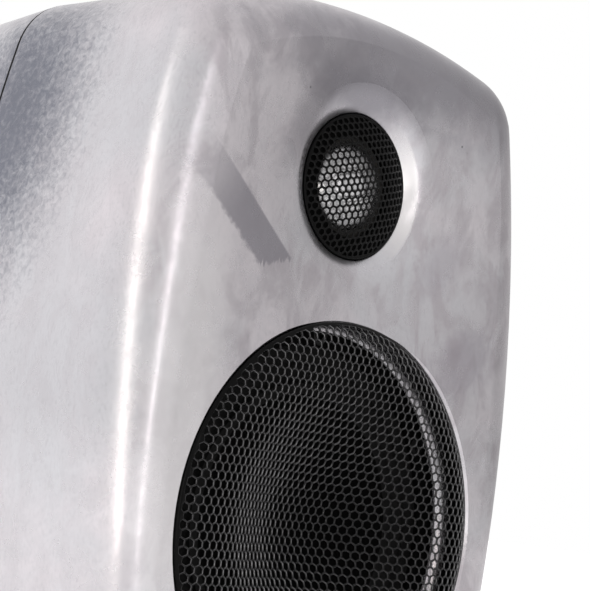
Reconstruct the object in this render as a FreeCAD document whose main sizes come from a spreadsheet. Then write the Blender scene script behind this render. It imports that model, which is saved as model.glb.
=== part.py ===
"""Active two-way studio monitor with a die-cast cabinet, in millimetres.

The cabinet stands on the plane z = 0 with its front towards -Y.  A depth is measured from the front
plane into the cabinet, and a driver's own sections are drawn as radius against height in front of it.
"""
import FreeCAD, Part
import math
import os
import re
import Sketcher

Vector = FreeCAD.Vector
doc = FreeCAD.newDocument("studio_monitor")
sheet = doc.addObject("Spreadsheet::Sheet", "Sizes")

# Driving dimensions: name, value in millimetres or degrees, meaning
SIZES = [
    ("cabinet_width", 189.0, "greatest width, at half height"),
    ("cabinet_height", 288.0, "height of the casting at its middle"),
    ("cabinet_depth", 178.0, "front plane to rear plane"),
    ("ground_clearance", 5.0, "lowest line of the casting above the table"),
    ("side_bow_radius", 500.0, "bow of the sides, seen from the front"),
    ("top_bow_radius", 272.0, "bow of the top, seen from the front"),
    ("base_bow_radius", 420.0, "bow of the underside, seen from the front"),
    ("outline_corner_radius", 24.0, "corners of the outline, seen from the front"),
    ("front_edge_radius", 21.0, "round between the front and the sides"),
    ("rear_edge_radius", 22.0, "round between the rear and the sides"),
    ("shoulder_depth", 130.0, "depth where the sides close in faster"),
    ("shoulder_inset", 4.0, "how much narrower each side is there"),
    ("shoulder_drop", 4.0, "how much lower the top is there"),
    ("shoulder_rise", 1.0, "how much higher the underside is there"),
    ("rear_inset", 16.0, "how much narrower each side is at the rear plane"),
    ("rear_drop", 14.0, "how much lower the top is at the rear plane"),
    ("rear_rise", 4.0, "how much higher the underside is at the rear plane"),
    ("wall", 5.0, "thickness of the cast walls"),
    ("baffle_thickness", 8.0, "thickness of the cast front"),
    ("rear_wall", 6.0, "thickness of the cast rear"),
    ("seam_depth", 92.0, "depth of the seam between the two castings"),
    ("seam_gasket_thickness", 1.2, "sealing ring in the seam"),
    ("boss_overlap", 1.0, "how far a boss runs into the wall that carries it"),
    ("cut_margin", 2.0, "how far a cutter runs past the face it opens"),
    ("slide_gap", 0.3, "gap beside a piece that drops into a recess"),
    ("thread_gap", 0.05, "gap between a screw and its hole"),
    # Screws that close the cabinet
    ("shell_screw_spread", 64.0, "screws left and right of the middle"),
    ("shell_screw_low", 45.0, "height of the lower pair"),
    ("shell_screw_high", 235.0, "height of the upper pair"),
    ("shell_screw_radius", 2.0, "radius of the thread"),
    ("shell_screw_head_radius", 3.5, "radius of the head"),
    ("shell_screw_head_height", 4.0, "height of the head"),
    ("shell_screw_reach", 12.0, "thread in the front casting"),
    ("shell_screw_grip", 12.0, "thickness clamped under the head"),
    ("shell_boss_radius", 7.0, "radius of the screw pillars"),
    ("shell_boss_length", 16.0, "length of the pillars in the front casting"),
    ("pillar_web_reach", 25.0, "web from a pillar's axis towards the side wall"),
    ("socket_radius", 1.3, "driving socket in a screw head"),
    ("socket_depth", 1.4, "depth of that socket"),
    # Feet
    ("foot_radius", 11.0, "radius of a foot in its seat"),
    ("foot_tread_radius", 9.5, "radius of a foot where it stands"),
    ("foot_seat_height", 10.5, "height of the seat above the table"),
    ("foot_spread", 55.0, "feet left and right of the middle"),
    ("front_foot_depth", 38.0, "depth of the front pair"),
    ("rear_foot_depth", 132.0, "depth of the rear pair"),
    # Woofer
    ("woofer_height", 120.8, "axis above the table"),
    ("driver_spacing", 112.5, "woofer axis to tweeter axis"),
    ("woofer_recess_radius", 67.4, "round recess in the front"),
    ("woofer_hole_radius", 57.6, "hole behind the recess"),
    ("woofer_well_radius", 66.9, "recess behind the shoulder that carries the grille"),
    ("woofer_seat_depth", 20.0, "depth of the recess"),
    ("woofer_lip", 1.0, "turned chamfer at the mouth of the recess"),
    ("woofer_boss_radius", 73.0, "thickened ring behind the recess"),
    ("woofer_boss_depth", 29.5, "depth to the back of that ring"),
    ("woofer_flange_depth", 15.0, "depth of the basket's front edge"),
    ("woofer_gasket_thickness", 0.8, "ring under the basket"),
    ("grille_sheet", 0.9, "thickness of the woofer grille"),
    ("grille_crest_height", 2.8, "highest ring of the grille in front of the cabinet"),
    ("grille_crest_radius", 57.0, "radius of that ring"),
    ("grille_rim_bow", 18.0, "bow between crest and rim"),
    ("grille_crest_bow", 38.0, "bow inside the crest"),
    ("grille_bowl_bow", 46.0, "bow at the middle of the bowl"),
    ("grille_bowl_slope", 26.8, "steepest slope of the bowl, in degrees"),
    ("grille_skirt_depth", 7.5, "depth of the shoulder under the grille's skirt"),
    ("grille_pitch", 11.4, "openings of the woofer grille"),
    ("grille_bar", 1.6, "bars between those openings"),
    ("grille_border", 2.5, "plain border at the rim"),
    ("least_opening", 0.45, "smallest share of an opening that is still punched at a border"),
    ("surround_landing_depth", 17.5, "depth where the surround is glued"),
    ("surround_outer_radius", 59.0, "outer edge of the surround"),
    ("roll_outer_radius", 53.5, "outer edge of the roll"),
    ("roll_inner_radius", 46.5, "inner edge of the roll"),
    ("roll_bow", 3.6, "radius of the roll's section"),
    ("surround_sheet", 0.8, "thickness of the surround"),
    ("cone_lip_radius", 43.0, "where the cone's lip meets its slope"),
    ("cone_sheet", 0.8, "thickness of the cone"),
    ("cone_neck_depth", 36.5, "depth of the cone at the voice coil"),
    ("cap_radius", 20.0, "radius of the dust cap"),
    ("cap_sheet", 0.5, "thickness of the dust cap"),
    ("cap_centre_depth", 35.1, "depth of the dust cap's middle"),
    ("former_radius", 12.4, "inner radius of the coil former"),
    ("former_sheet", 0.3, "thickness of the former"),
    ("coil_build", 0.35, "thickness of the winding"),
    ("coil_start_depth", 58.0, "depth where the winding starts"),
    ("coil_length", 10.0, "length of the winding"),
    ("magnet_gap", 0.3, "air beside the coil"),
    ("spider_depth", 47.5, "depth of the spider's ledge"),
    ("spider_radius", 45.3, "outer edge of the spider"),
    ("spider_sheet", 0.6, "thickness of the spider"),
    ("spider_wave", 1.4, "height of its waves"),
    ("spider_wave_pitch", 3.6, "half wave of the spider"),
    ("basket_wall", 2.2, "wall of the basket"),
    ("basket_back_depth", 60.5, "depth of the basket's back"),
    ("basket_back_plate", 2.5, "thickness of the basket's back"),
    ("basket_back_opening", 27.0, "hole in the basket's back"),
    ("basket_window_count", 6, "windows in the basket"),
    ("basket_window_angle", 42.0, "width of a window, in degrees"),
    ("basket_window_inner", 48.2, "inner edge of a window"),
    ("basket_window_outer", 54.0, "outer edge of a window"),
    ("top_plate_radius", 40.0, "radius of the top plate"),
    ("top_plate_thickness", 5.0, "thickness of the top plate"),
    ("magnet_radius", 43.0, "radius of the magnet"),
    ("magnet_hole_radius", 22.0, "hole in the magnet"),
    ("magnet_thickness", 14.0, "thickness of the magnet"),
    ("yoke_thickness", 5.0, "thickness of the back plate"),
    ("pole_vent_radius", 4.0, "vent through the pole"),
    ("woofer_screw_circle", 62.8, "radius of the screw circle"),
    ("woofer_screw_count", 6, "screws round the woofer"),
    ("woofer_screw_radius", 1.9, "radius of the thread"),
    ("woofer_screw_head_radius", 3.3, "radius of the head"),
    ("woofer_screw_head_height", 2.2, "height of the head"),
    ("woofer_screw_length", 11.0, "length under the head"),
    ("woofer_screw_sink", 0.3, "head below the basket's edge"),
    # Tweeter
    ("guide_radius", 74.0, "mouth of the waveguide"),
    ("guide_bow", 278.0, "bow of the waveguide"),
    ("funnel_mouth_radius", 34.0, "mouth of the inner funnel"),
    ("funnel_bow", 16.1, "bow of the funnel's rounded lip"),
    ("tweeter_hole_radius", 24.4, "hole for the tweeter"),
    ("tweeter_face_depth", 8.0, "depth of the tweeter's front ring"),
    ("tweeter_boss_radius", 40.0, "thickened ring behind the waveguide"),
    ("tweeter_boss_depth", 16.0, "depth to the back of that ring"),
    ("tweeter_flange_radius", 36.0, "flange behind the ring"),
    ("tweeter_flange_thickness", 3.0, "thickness of that flange"),
    ("tweeter_mouth_radius", 17.2, "opening in front of the dome"),
    ("tweeter_bore_radius", 20.8, "bore behind the front ring"),
    ("tweeter_ring_thickness", 3.0, "thickness of the front ring"),
    ("tweeter_grille_radius", 23.9, "rim of the tweeter grille"),
    ("tweeter_grille_sheet", 0.6, "thickness of the tweeter grille"),
    ("tweeter_grille_rise", 3.3, "height of its dome"),
    ("tweeter_grille_rim", 1.7, "plain rim of the tweeter grille"),
    ("tweeter_grille_pitch", 6.0, "openings of the tweeter grille"),
    ("tweeter_grille_bar", 1.1, "bars between those openings"),
    ("dome_radius", 13.0, "radius of the tweeter dome"),
    ("dome_height", 4.9, "height of the dome"),
    ("dome_sheet", 0.3, "thickness of the dome"),
    ("dome_roll_radius", 15.2, "outer edge of the dome's suspension roll"),
    ("dome_roll_bow", 1.25, "radius of that roll's section"),
    ("suspension_sheet", 0.4, "thickness of the suspension"),
    ("tweeter_coil_build", 0.3, "thickness of the tweeter coil"),
    ("tweeter_coil_length", 4.0, "length of the tweeter coil"),
    ("tweeter_pole_start", 1.0, "pole plate behind the dome's foot"),
    ("tweeter_pole_thickness", 3.0, "thickness of the pole plate"),
    ("tweeter_slug_radius", 10.0, "radius of the tweeter magnet"),
    ("tweeter_slug_thickness", 6.0, "thickness of the tweeter magnet"),
    ("tweeter_cup_throat", 3.6, "length of the cup's magnetic gap"),
    ("tweeter_cup_radius", 17.0, "inside of the cup behind the gap"),
    ("tweeter_cup_floor", 5.0, "floor of the cup"),
    ("tweeter_screw_circle", 31.0, "radius of the screw circle"),
    ("tweeter_screw_count", 3, "screws round the tweeter"),
    ("tweeter_screw_radius", 1.5, "radius of the thread"),
    ("tweeter_screw_head_radius", 2.8, "radius of the head"),
    ("tweeter_screw_head_height", 2.0, "height of the head"),
    ("tweeter_screw_length", 9.0, "length under the head"),
    # Reflex port
    ("port_height", 205.0, "axis above the table"),
    ("port_radius", 18.0, "bore of the port"),
    ("port_wall", 2.5, "wall of the port tube"),
    ("port_length", 96.0, "length of the port"),
    ("port_flare", 10.0, "flare at each end"),
    ("port_flange_radius", 32.0, "flange in the rear wall"),
    ("port_flange_thickness", 3.0, "thickness of that flange"),
    # Wall fixing
    ("bracket_height", 155.0, "threaded holes above the table"),
    ("bracket_spread", 35.0, "threaded holes left and right of the middle"),
    ("bracket_hole_radius", 3.0, "threaded holes for a wall bracket"),
    ("bracket_hole_depth", 12.0, "depth of those holes"),
    ("bracket_boss_radius", 7.0, "boss behind each hole"),
    ("bracket_boss_floor", 4.0, "boss past the end of the hole"),
    # Connector panel and its recess
    ("panel_width", 99.4, "width of the connector panel"),
    ("panel_tall", 97.4, "height of the connector panel"),
    ("panel_base", 36.3, "lower edge above the table"),
    ("panel_thickness", 2.5, "thickness of the panel"),
    ("panel_depth", 162.0, "depth of the panel's outer face"),
    ("panel_corner_radius", 6.0, "corners of the panel"),
    ("panel_ledge", 6.0, "ledge that carries the panel"),
    ("panel_ledge_thickness", 4.0, "thickness of that ledge"),
    ("recess_wall", 5.0, "walls of the recess"),
    ("panel_gasket_thickness", 1.0, "seal under the panel"),
    ("panel_screw_inset", 4.5, "screws from the panel's edges"),
    ("panel_screw_radius", 1.2, "radius of the thread"),
    ("panel_screw_head_radius", 2.6, "radius of the head"),
    ("panel_screw_head_height", 1.8, "height of the head"),
    ("panel_screw_length", 6.6, "length under the head"),
    ("board_depth", 138.0, "depth of the circuit board's front"),
    ("board_thickness", 1.6, "thickness of the circuit board"),
    ("board_margin", 9.0, "panel beyond the board on each side"),
    # Sockets, switches and the level control
    ("socket_row_height", 62.0, "sockets above the table"),
    ("control_row_height", 108.0, "controls above the table"),
    ("row_spread", 30.0, "outer sockets and controls from the middle"),
    ("audio_flange_width", 26.0, "flange of an audio socket"),
    ("audio_flange_height", 31.0, "height of that flange"),
    ("audio_flange_thickness", 2.0, "thickness of that flange"),
    ("audio_corner_radius", 3.0, "corners of that flange"),
    ("audio_barrel_radius", 11.8, "barrel behind the panel"),
    ("audio_mouth_radius", 9.7, "mouth of an audio socket"),
    ("audio_mouth_depth", 15.0, "depth of the mouth"),
    ("audio_insert_radius", 7.9, "contact carrier of the input socket"),
    ("contact_count", 3, "contacts of an audio socket"),
    ("contact_start", 30.0, "direction of the first contact, in degrees"),
    ("contact_circle", 4.2, "circle of the contacts"),
    ("contact_radius", 1.25, "contact pins and holes"),
    ("contact_length", 11.0, "length of the contact pins"),
    ("mains_flange_width", 31.0, "flange of the mains inlet"),
    ("mains_flange_height", 27.0, "height of that flange"),
    ("mains_flange_thickness", 2.5, "thickness of that flange"),
    ("mains_body_width", 27.6, "inlet behind the panel"),
    ("mains_body_height", 20.4, "height of the inlet behind the panel"),
    ("mains_mouth_width", 24.4, "mouth of the inlet"),
    ("mains_mouth_height", 16.6, "height of the mouth"),
    ("mains_mouth_corner", 4.5, "cut corners of the mouth"),
    ("mains_mouth_depth", 17.0, "depth of the mouth"),
    ("mains_pin_spread", 7.0, "outer pins from the middle"),
    ("mains_pin_rise", 2.0, "earth pin above the others"),
    ("mains_pin_width", 2.0, "thickness of a pin"),
    ("mains_pin_height", 4.0, "height of a pin"),
    ("mains_pin_length", 13.0, "length of a pin"),
    ("rocker_width", 11.0, "width of the power rocker"),
    ("rocker_tall", 15.0, "height of the power rocker"),
    ("rocker_frame", 3.0, "frame round the rocker"),
    ("rocker_frame_lip", 1.0, "frame beyond the switch body"),
    ("rocker_frame_thickness", 2.0, "thickness of that frame"),
    ("rocker_frame_length", 14.0, "switch body behind the panel"),
    ("rocker_floor", 2.5, "floor of the switch body"),
    ("rocker_gap", 0.6, "gap round the rocker"),
    ("rocker_angle", 9.0, "slope of each half of the rocker, in degrees"),
    ("rocker_rest", 8.0, "tilt of the rocker when switched off, in degrees"),
    ("rocker_stem", 5.0, "rocker behind its pivot"),
    ("rocker_pivot_radius", 1.2, "pivot pin of the rocker"),
    ("knob_radius", 7.0, "radius of the level knob"),
    ("knob_length", 10.0, "length of the level knob"),
    ("knob_gap", 0.5, "knob to panel"),
    ("knob_flute_count", 12, "flutes round the knob"),
    ("knob_flute_radius", 1.1, "radius of a flute"),
    ("spindle_radius", 3.0, "spindle of the level control"),
    ("spindle_length", 8.0, "spindle outside the panel"),
    ("bush_radius", 3.6, "hole in the panel for the spindle"),
    ("control_body_width", 16.0, "level control behind the panel"),
    ("control_body_height", 18.0, "height of the level control"),
    ("tone_width", 24.0, "tone switch block"),
    ("tone_tall", 11.0, "height of that block"),
    ("tone_proud", 1.0, "block in front of the panel"),
    ("tone_length", 8.0, "block behind the panel"),
    ("tone_count", 4, "switches in the block"),
    ("tone_pitch", 5.0, "one switch to the next"),
    ("tone_slot_width", 2.6, "slot of a switch"),
    ("tone_slot_tall", 6.0, "height of a slot"),
    ("tone_slot_depth", 2.4, "depth of a slot"),
    ("tone_lever_width", 2.2, "width of a lever"),
    ("tone_lever_tall", 2.6, "height of a lever"),
    ("tone_lever_proud", 0.9, "lever in front of the block"),
    ("tone_travel", 2.6, "travel of a lever"),
    # Electronics behind the panel
    ("transformer_width", 34.0, "power transformer"),
    ("transformer_tall", 28.0, "height of the transformer"),
    ("transformer_length", 26.0, "transformer in front of the board"),
    ("transformer_lamination", 12.0, "core inside the winding"),
    ("capacitor_radius", 9.0, "filter capacitors"),
    ("capacitor_length", 32.0, "length of the capacitors"),
    ("capacitor_spread", 10.5, "capacitors from their middle"),
    ("heat_width", 80.0, "heat spreader on the board"),
    ("heat_length", 22.0, "heat spreader in front of the board"),
    ("heat_base", 3.0, "thickness of its base"),
    ("heat_fin_count", 7, "fins of the heat spreader"),
    ("heat_fin", 2.5, "thickness of a fin"),
    ("heat_tall", 12.0, "height of the heat spreader"),
    # Front lamp and damping
    ("lamp_height", 38.0, "power lamp above the table"),
    ("lamp_radius", 2.0, "radius of the light pipe"),
    ("lamp_length", 12.0, "length of the light pipe"),
    ("foam_thickness", 18.0, "damping foam under the top"),
    ("foam_width", 96.0, "width of the foam"),
    ("foam_length", 58.0, "length of the foam"),
]

for row, (alias, value, meaning) in enumerate(SIZES, start=1):
    sheet.set(f"A{row}", meaning)
    sheet.set(f"B{row}", str(value))
    sheet.setAlias(f"B{row}", alias)
doc.recompute()
ALIASES = {alias for alias, value, meaning in SIZES}
WORD = re.compile(r"[a-z][a-z_0-9]*")

# Places that several pieces share, as formulas of the sheet
TOP = "(ground_clearance + cabinet_height)"
MIDDLE = "(ground_clearance + cabinet_height / 2)"
TWEETER_HEIGHT = "(woofer_height + driver_spacing)"
REAR_SEAM = "(seam_depth + seam_gasket_thickness)"
PANEL_BACK = "(panel_depth - panel_thickness)"
PANEL_MIDDLE = "(panel_base + panel_tall / 2)"

pieces = {}


def bind(formula):
    """The formula with each size pointing into the sheet."""
    return WORD.sub(lambda word: "Sizes." + word[0] if word[0] in ALIASES else word[0], formula)


def number(formula):
    """The formula's present value."""
    return float(sheet.evalExpression(formula))


def at_depth(depth):
    """The Y of a depth behind the front plane."""
    return f"({depth}) - (cabinet_depth - grille_crest_height) / 2"


def piece(label, item):
    """Keeps a finished sub-part under its own label."""
    item.Label = label
    pieces[label] = item
    return item


def fix(sketch, kind, geometry, place, formula):
    """Ties one coordinate of a sketch point to a formula."""
    if formula == "0":
        axis = -2 if kind == "DistanceX" else -1
        sketch.addConstraint(Sketcher.Constraint("PointOnObject", geometry, place, axis))
        return
    index = sketch.addConstraint(Sketcher.Constraint(kind, -1, 1, geometry, place, number(formula)))
    sketch.setExpression(f"Constraints[{index}]", bind(formula))


def round_off(sketch, geometry, formula):
    """Ties the radius of an arc or circle to a formula."""
    index = sketch.addConstraint(Sketcher.Constraint("Radius", geometry, number(formula)))
    sketch.setExpression(f"Constraints[{index}]", bind(formula))


def arc_between(centre, radius, start, end):
    """The arc that runs anticlockwise from one direction to another."""
    first, last = math.atan2(start.y, start.x), math.atan2(end.y, end.x)
    if last < first:
        last += 2 * math.pi
    return Part.ArcOfCircle(Part.Circle(centre, Vector(0, 0, 1), radius), first, last)


def outline(sketch, corners):
    """A closed chain through corners (x, y).

    A third item (radius, side) makes the edge to the next corner an arc that bows to the left (+1)
    or to the right (-1) of the way along the chain.
    """
    points = [Vector(number(corner[0]), number(corner[1]), 0) for corner in corners]
    edges = []
    for index, corner in enumerate(corners):
        start, end = points[index], points[(index + 1) % len(points)]
        if len(corner) == 2:
            edges.append((sketch.addGeometry(Part.LineSegment(start, end)), 1, 2))
            continue
        radius, side = corner[2]
        size = number(radius)
        chord = end - start
        left = Vector(-chord.y, chord.x, 0).normalize()
        centre = (start + end) * 0.5 - left * side * math.sqrt(size ** 2 - (chord.Length / 2) ** 2)
        first, last = (end, start) if side > 0 else (start, end)
        geometry = sketch.addGeometry(arc_between(centre, size, first - centre, last - centre))
        edges.append((geometry, 2, 1) if side > 0 else (geometry, 1, 2))
        round_off(sketch, geometry, radius)
    for index, (geometry, start, end) in enumerate(edges):
        before = edges[index - 1]
        sketch.addConstraint(Sketcher.Constraint("Coincident", before[0], before[2], geometry, start))
        fix(sketch, "DistanceX", geometry, start, corners[index][0])
        fix(sketch, "DistanceY", geometry, start, corners[index][1])


def ring(sketch, x, y, radius):
    """A circle."""
    place = Vector(number(x), number(y), 0)
    geometry = sketch.addGeometry(Part.Circle(place, Vector(0, 0, 1), number(radius)))
    round_off(sketch, geometry, radius)
    fix(sketch, "DistanceX", geometry, 3, x)
    fix(sketch, "DistanceY", geometry, 3, y)


def rectangle(x, y, width, tall, corner=None):
    """Corners of an upright rectangle about (x, y), with round corners if a radius is given."""
    left, right = f"({x}) - ({width}) / 2", f"({x}) + ({width}) / 2"
    low, high = f"({y}) - ({tall}) / 2", f"({y}) + ({tall}) / 2"
    if corner is None:
        return [(left, low), (right, low), (right, high), (left, high)]
    bow = (corner, -1)
    return [
        (f"{left} + {corner}", low), (f"{right} - {corner}", low, bow),
        (right, f"{low} + {corner}"), (right, f"{high} - {corner}", bow),
        (f"{right} - {corner}", high), (f"{left} + {corner}", high, bow),
        (left, f"{high} - {corner}"), (left, f"{low} + {corner}", bow),
    ]


def new_sketch(body, role, name, offset=None):
    """A sketch on one of the body's own planes, moved along that plane's normal."""
    plane = next(feature for feature in body.Origin.OriginFeatures if feature.Role == role)
    sketch = body.newObject("Sketcher::SketchObject", name)
    sketch.AttachmentSupport = [(plane, "")]
    sketch.MapMode = "FlatFace"
    if offset is not None:
        sketch.setExpression("AttachmentOffset.Base.z", bind(offset))
    return sketch


FACING = {
    "up": FreeCAD.Rotation(),
    "front": FreeCAD.Rotation(Vector(1, 0, 0), 90),
    "rear": FreeCAD.Rotation(Vector(1, 0, 0), -90),
}


def place(item, where, facing):
    """Stands an object's own Z axis towards the front, the rear or up, at a point."""
    item.Placement = FreeCAD.Placement(Vector(), FACING[facing])
    for axis, formula in zip("xyz", where):
        item.setExpression(f"Placement.Base.{axis}", bind(formula))
    return item


def turned(label, corners, where, facing="front"):
    """A piece of revolution whose section is given as (radius, height along its axis)."""
    body = doc.addObject("PartDesign::Body", label)
    sketch = new_sketch(body, "XZ_Plane", label + "_section")
    outline(sketch, corners)
    turn = body.newObject("PartDesign::Revolution", label + "_turn")
    turn.Profile = sketch
    turn.ReferenceAxis = (sketch, ["V_Axis"])
    turn.Angle = 360
    return place(body, where, facing)


def plate(label, loops, near, far):
    """A flat piece between two depths; loops are outlines, or circles as (x, height, radius)."""
    body = doc.addObject("PartDesign::Body", label)
    sketch = new_sketch(body, "XZ_Plane", label + "_face", f"-({at_depth(far)})")
    for loop in loops:
        if isinstance(loop, tuple):
            ring(sketch, *loop)
        else:
            outline(sketch, loop)
    pad = body.newObject("PartDesign::Pad", label + "_pad")
    pad.Profile = sketch
    pad.setExpression("Length", bind(f"({far}) - ({near})"))
    return body


def block(label, x, depth, z):
    """A box between pairs of limits, with its Y limits given as depths."""
    box = doc.addObject("Part::Box", label)
    limits = (("Length", "x", x), ("Width", "y", tuple(map(at_depth, depth))), ("Height", "z", z))
    for side, axis, (low, high) in limits:
        box.setExpression(side, bind(f"({high}) - ({low})"))
        box.setExpression(f"Placement.Base.{axis}", bind(low))
    return box


def rod(label, radius, x, z, near, far):
    """A cylinder along the depth."""
    cylinder = doc.addObject("Part::Cylinder", label)
    cylinder.setExpression("Radius", bind(radius))
    cylinder.setExpression("Height", bind(f"({far}) - ({near})"))
    return place(cylinder, (x, at_depth(near), z), "rear")


def fuse(label, items):
    """The items joined into one shape."""
    joined = doc.addObject("Part::MultiFuse", label)
    joined.Shapes = items
    joined.Refine = True
    return joined


def cut(label, base, tools):
    """The base with every tool taken away."""
    taken = doc.addObject("Part::Cut", label)
    taken.Base = base
    taken.Tool = tools[0] if len(tools) == 1 else fuse(label + "_tools", tools)
    taken.Refine = True
    return taken


def common(label, first, second):
    """What two shapes share."""
    shared = doc.addObject("Part::Common", label)
    shared.Base = first
    shared.Tool = second
    shared.Refine = True
    return shared


def group(label, items):
    """Separate solids kept as one sub-part."""
    compound = doc.addObject("Part::Compound", label)
    compound.Links = items
    return compound


def around(count, circle, start="90"):
    """Offsets of evenly spaced places on a circle, the first one upwards unless a start is given."""
    step = 360.0 / number(count)
    for index in range(int(number(count))):
        angle = number(start) + index * step
        yield f"{circle} * cos({angle} deg)", f"{circle} * sin({angle} deg)"


def screw(label, thread, head, where, facing):
    """A screw with its head's underside at the given place; thread and head are (radius, length)."""
    return turned(label, [
        ("0", f"-({thread[1]})"), (thread[0], f"-({thread[1]})"), (thread[0], "0"), (head[0], "0"),
        (head[0], head[1]), ("socket_radius", head[1]),
        ("socket_radius", f"({head[1]}) - socket_depth"), ("0", f"({head[1]}) - socket_depth"),
    ], where, facing)


def honeycomb(label, height, reach, pitch, bar, near, far):
    """Punches of a hexagon pattern about the axis at a height, trimmed to a circle at their reach."""
    step, size = number(pitch), (number(pitch) - number(bar)) / math.sqrt(3)
    rise = step * math.sqrt(3) / 2
    front, back = number(at_depth(near)), number(at_depth(far))
    middle = Vector(0, front, number(height))
    disc = Part.Face(Part.Wire(Part.makeCircle(number(reach), middle, Vector(0, 1, 0))))
    prisms = []
    rows = int(number(reach) / rise) + 1
    for row in range(-rows, rows + 1):
        for column in range(-rows - 1, rows + 2):
            place_here = middle + Vector((column + (row % 2) / 2) * step, 0, row * rise)
            if (place_here - middle).Length > number(reach) + size:
                continue
            turns = [turn * math.pi / 3 for turn in range(7)]
            opening = Part.Face(Part.makePolygon([
                place_here + Vector(size * math.sin(turn), 0, size * math.cos(turn)) for turn in turns
            ]))
            inside = opening.common(disc)
            if inside.Area < number("least_opening") * opening.Area:
                continue
            prisms.extend(face.extrude(Vector(0, back - front, 0)) for face in inside.Faces)
    punches = doc.addObject("Part::Feature", label)
    punches.Shape = Part.makeCompound(prisms)
    return punches


# Cabinet form: an outer and an inner skin, each a loft of bowed outlines with rounded ends
def barrel(name, depth, inset, drop, rise, skin):
    """One outline: four bowed sides joined by tangent corner arcs."""
    sketch = place(doc.addObject("Sketcher::SketchObject", name), ("0", at_depth(depth), "0"), "front")
    half = f"(cabinet_width / 2 - ({inset}) - ({skin}))"
    side = f"(side_bow_radius - ({skin}))"
    crown = f"(top_bow_radius - ({skin}))"
    keel = f"(base_bow_radius - ({skin}))"
    corner = f"(outline_corner_radius - ({skin}))"
    bows = [
        (f"{half} - {side}", MIDDLE, side),
        ("0", f"{TOP} - ({drop}) - ({skin}) - {crown}", crown),
        (f"{side} - {half}", MIDDLE, side),
        ("0", f"ground_clearance + ({rise}) + ({skin}) + {keel}", keel),
    ]
    centres = [Vector(number(x), number(z), 0) for x, z, radius in bows]
    radii = [number(radius) for x, z, radius in bows]
    bend = number(corner)
    corners = []
    for index in range(4):
        near, far = centres[index], centres[(index + 1) % 4]
        reach, other = radii[index] - bend, radii[(index + 1) % 4] - bend
        across = far - near
        along = (reach ** 2 - other ** 2 + across.Length ** 2) / (2 * across.Length)
        aside = math.sqrt(reach ** 2 - along ** 2)
        way = Vector(across).normalize()
        corners.append(near + way * along + Vector(-way.y, way.x, 0) * aside)
    arcs = []
    for index in range(4):
        before, after = corners[index - 1], corners[index]
        for centre, radius, start, end in (
            (centres[index], radii[index], before - centres[index], after - centres[index]),
            (after, bend, after - centres[index], after - centres[(index + 1) % 4]),
        ):
            arcs.append(sketch.addGeometry(arc_between(centre, radius, start, end)))
    for index, arc in enumerate(arcs):
        sketch.addConstraint(Sketcher.Constraint("Tangent", arcs[index - 1], 2, arc, 1))
    for arc, (x, z, radius) in zip(arcs[0::2], bows):
        round_off(sketch, arc, radius)
        fix(sketch, "DistanceX", arc, 3, x)
        fix(sketch, "DistanceY", arc, 3, z)
    for arc in arcs[1::2]:
        round_off(sketch, arc, corner)
    return sketch


def skin_form(name, skin, front, rear):
    """A loft, straight to the seam and closing in behind it, rounded at its front and rear."""
    form = doc.addObject("Part::Loft", name + "_loft")
    form.Sections = [
        barrel(name + "_front", front, "0", "0", "0", skin),
        barrel(name + "_seam", "seam_depth", "0", "0", "0", skin),
        barrel(name + "_shoulder", "shoulder_depth", "shoulder_inset", "shoulder_drop",
               "shoulder_rise", skin),
        barrel(name + "_rear", rear, "rear_inset", "rear_drop", "rear_rise", skin),
    ]
    form.Solid = True
    form.Ruled = True
    for depth, radius in ((front, "front_edge_radius"), (rear, "rear_edge_radius")):
        doc.recompute()
        level, size = number(at_depth(depth)), number(f"{radius} - ({skin})")
        edges = [
            (index, size, size) for index, edge in enumerate(form.Shape.Edges, start=1)
            if max(abs(edge.BoundBox.YMin - level), abs(edge.BoundBox.YMax - level)) < number("thread_gap")
        ]
        rounded = doc.addObject("Part::Fillet", f"{name}_{radius}")
        rounded.Base = form
        rounded.Edges = edges
        form = rounded
    return form


outer = skin_form("outer_skin", "0", "0", "cabinet_depth")
inner = skin_form("inner_skin", "wall", "baffle_thickness", "cabinet_depth - rear_wall")
casting = cut("casting", outer, [inner])
BEYOND = ("-cabinet_width", "cabinet_width")
UPRIGHT = ("-cabinet_height", "2 * cabinet_height")

SHELL_SCREWS = [
    (f"{side} * shell_screw_spread", height)
    for side in (-1, 1) for height in ("shell_screw_low", "shell_screw_high")
]
FEET = [
    (f"{side} * foot_spread", depth)
    for side in (-1, 1) for depth in ("front_foot_depth", "rear_foot_depth")
]
WOOFER = ("0", at_depth("0"), "woofer_height")
TWEETER = ("0", at_depth("0"), TWEETER_HEIGHT)


def foot_seats(name, pair):
    """Cutters for the round seats of one pair of feet."""
    seats = []
    for index, (x, depth) in enumerate(spot for spot in FEET if spot[1] == pair):
        seat = doc.addObject("Part::Cylinder", f"{name}_{index}")
        seat.setExpression("Radius", bind("foot_radius + slide_gap"))
        seat.setExpression("Height", bind("foot_seat_height"))
        seats.append(place(seat, (x, at_depth(depth), "0"), "up"))
    return seats


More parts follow.
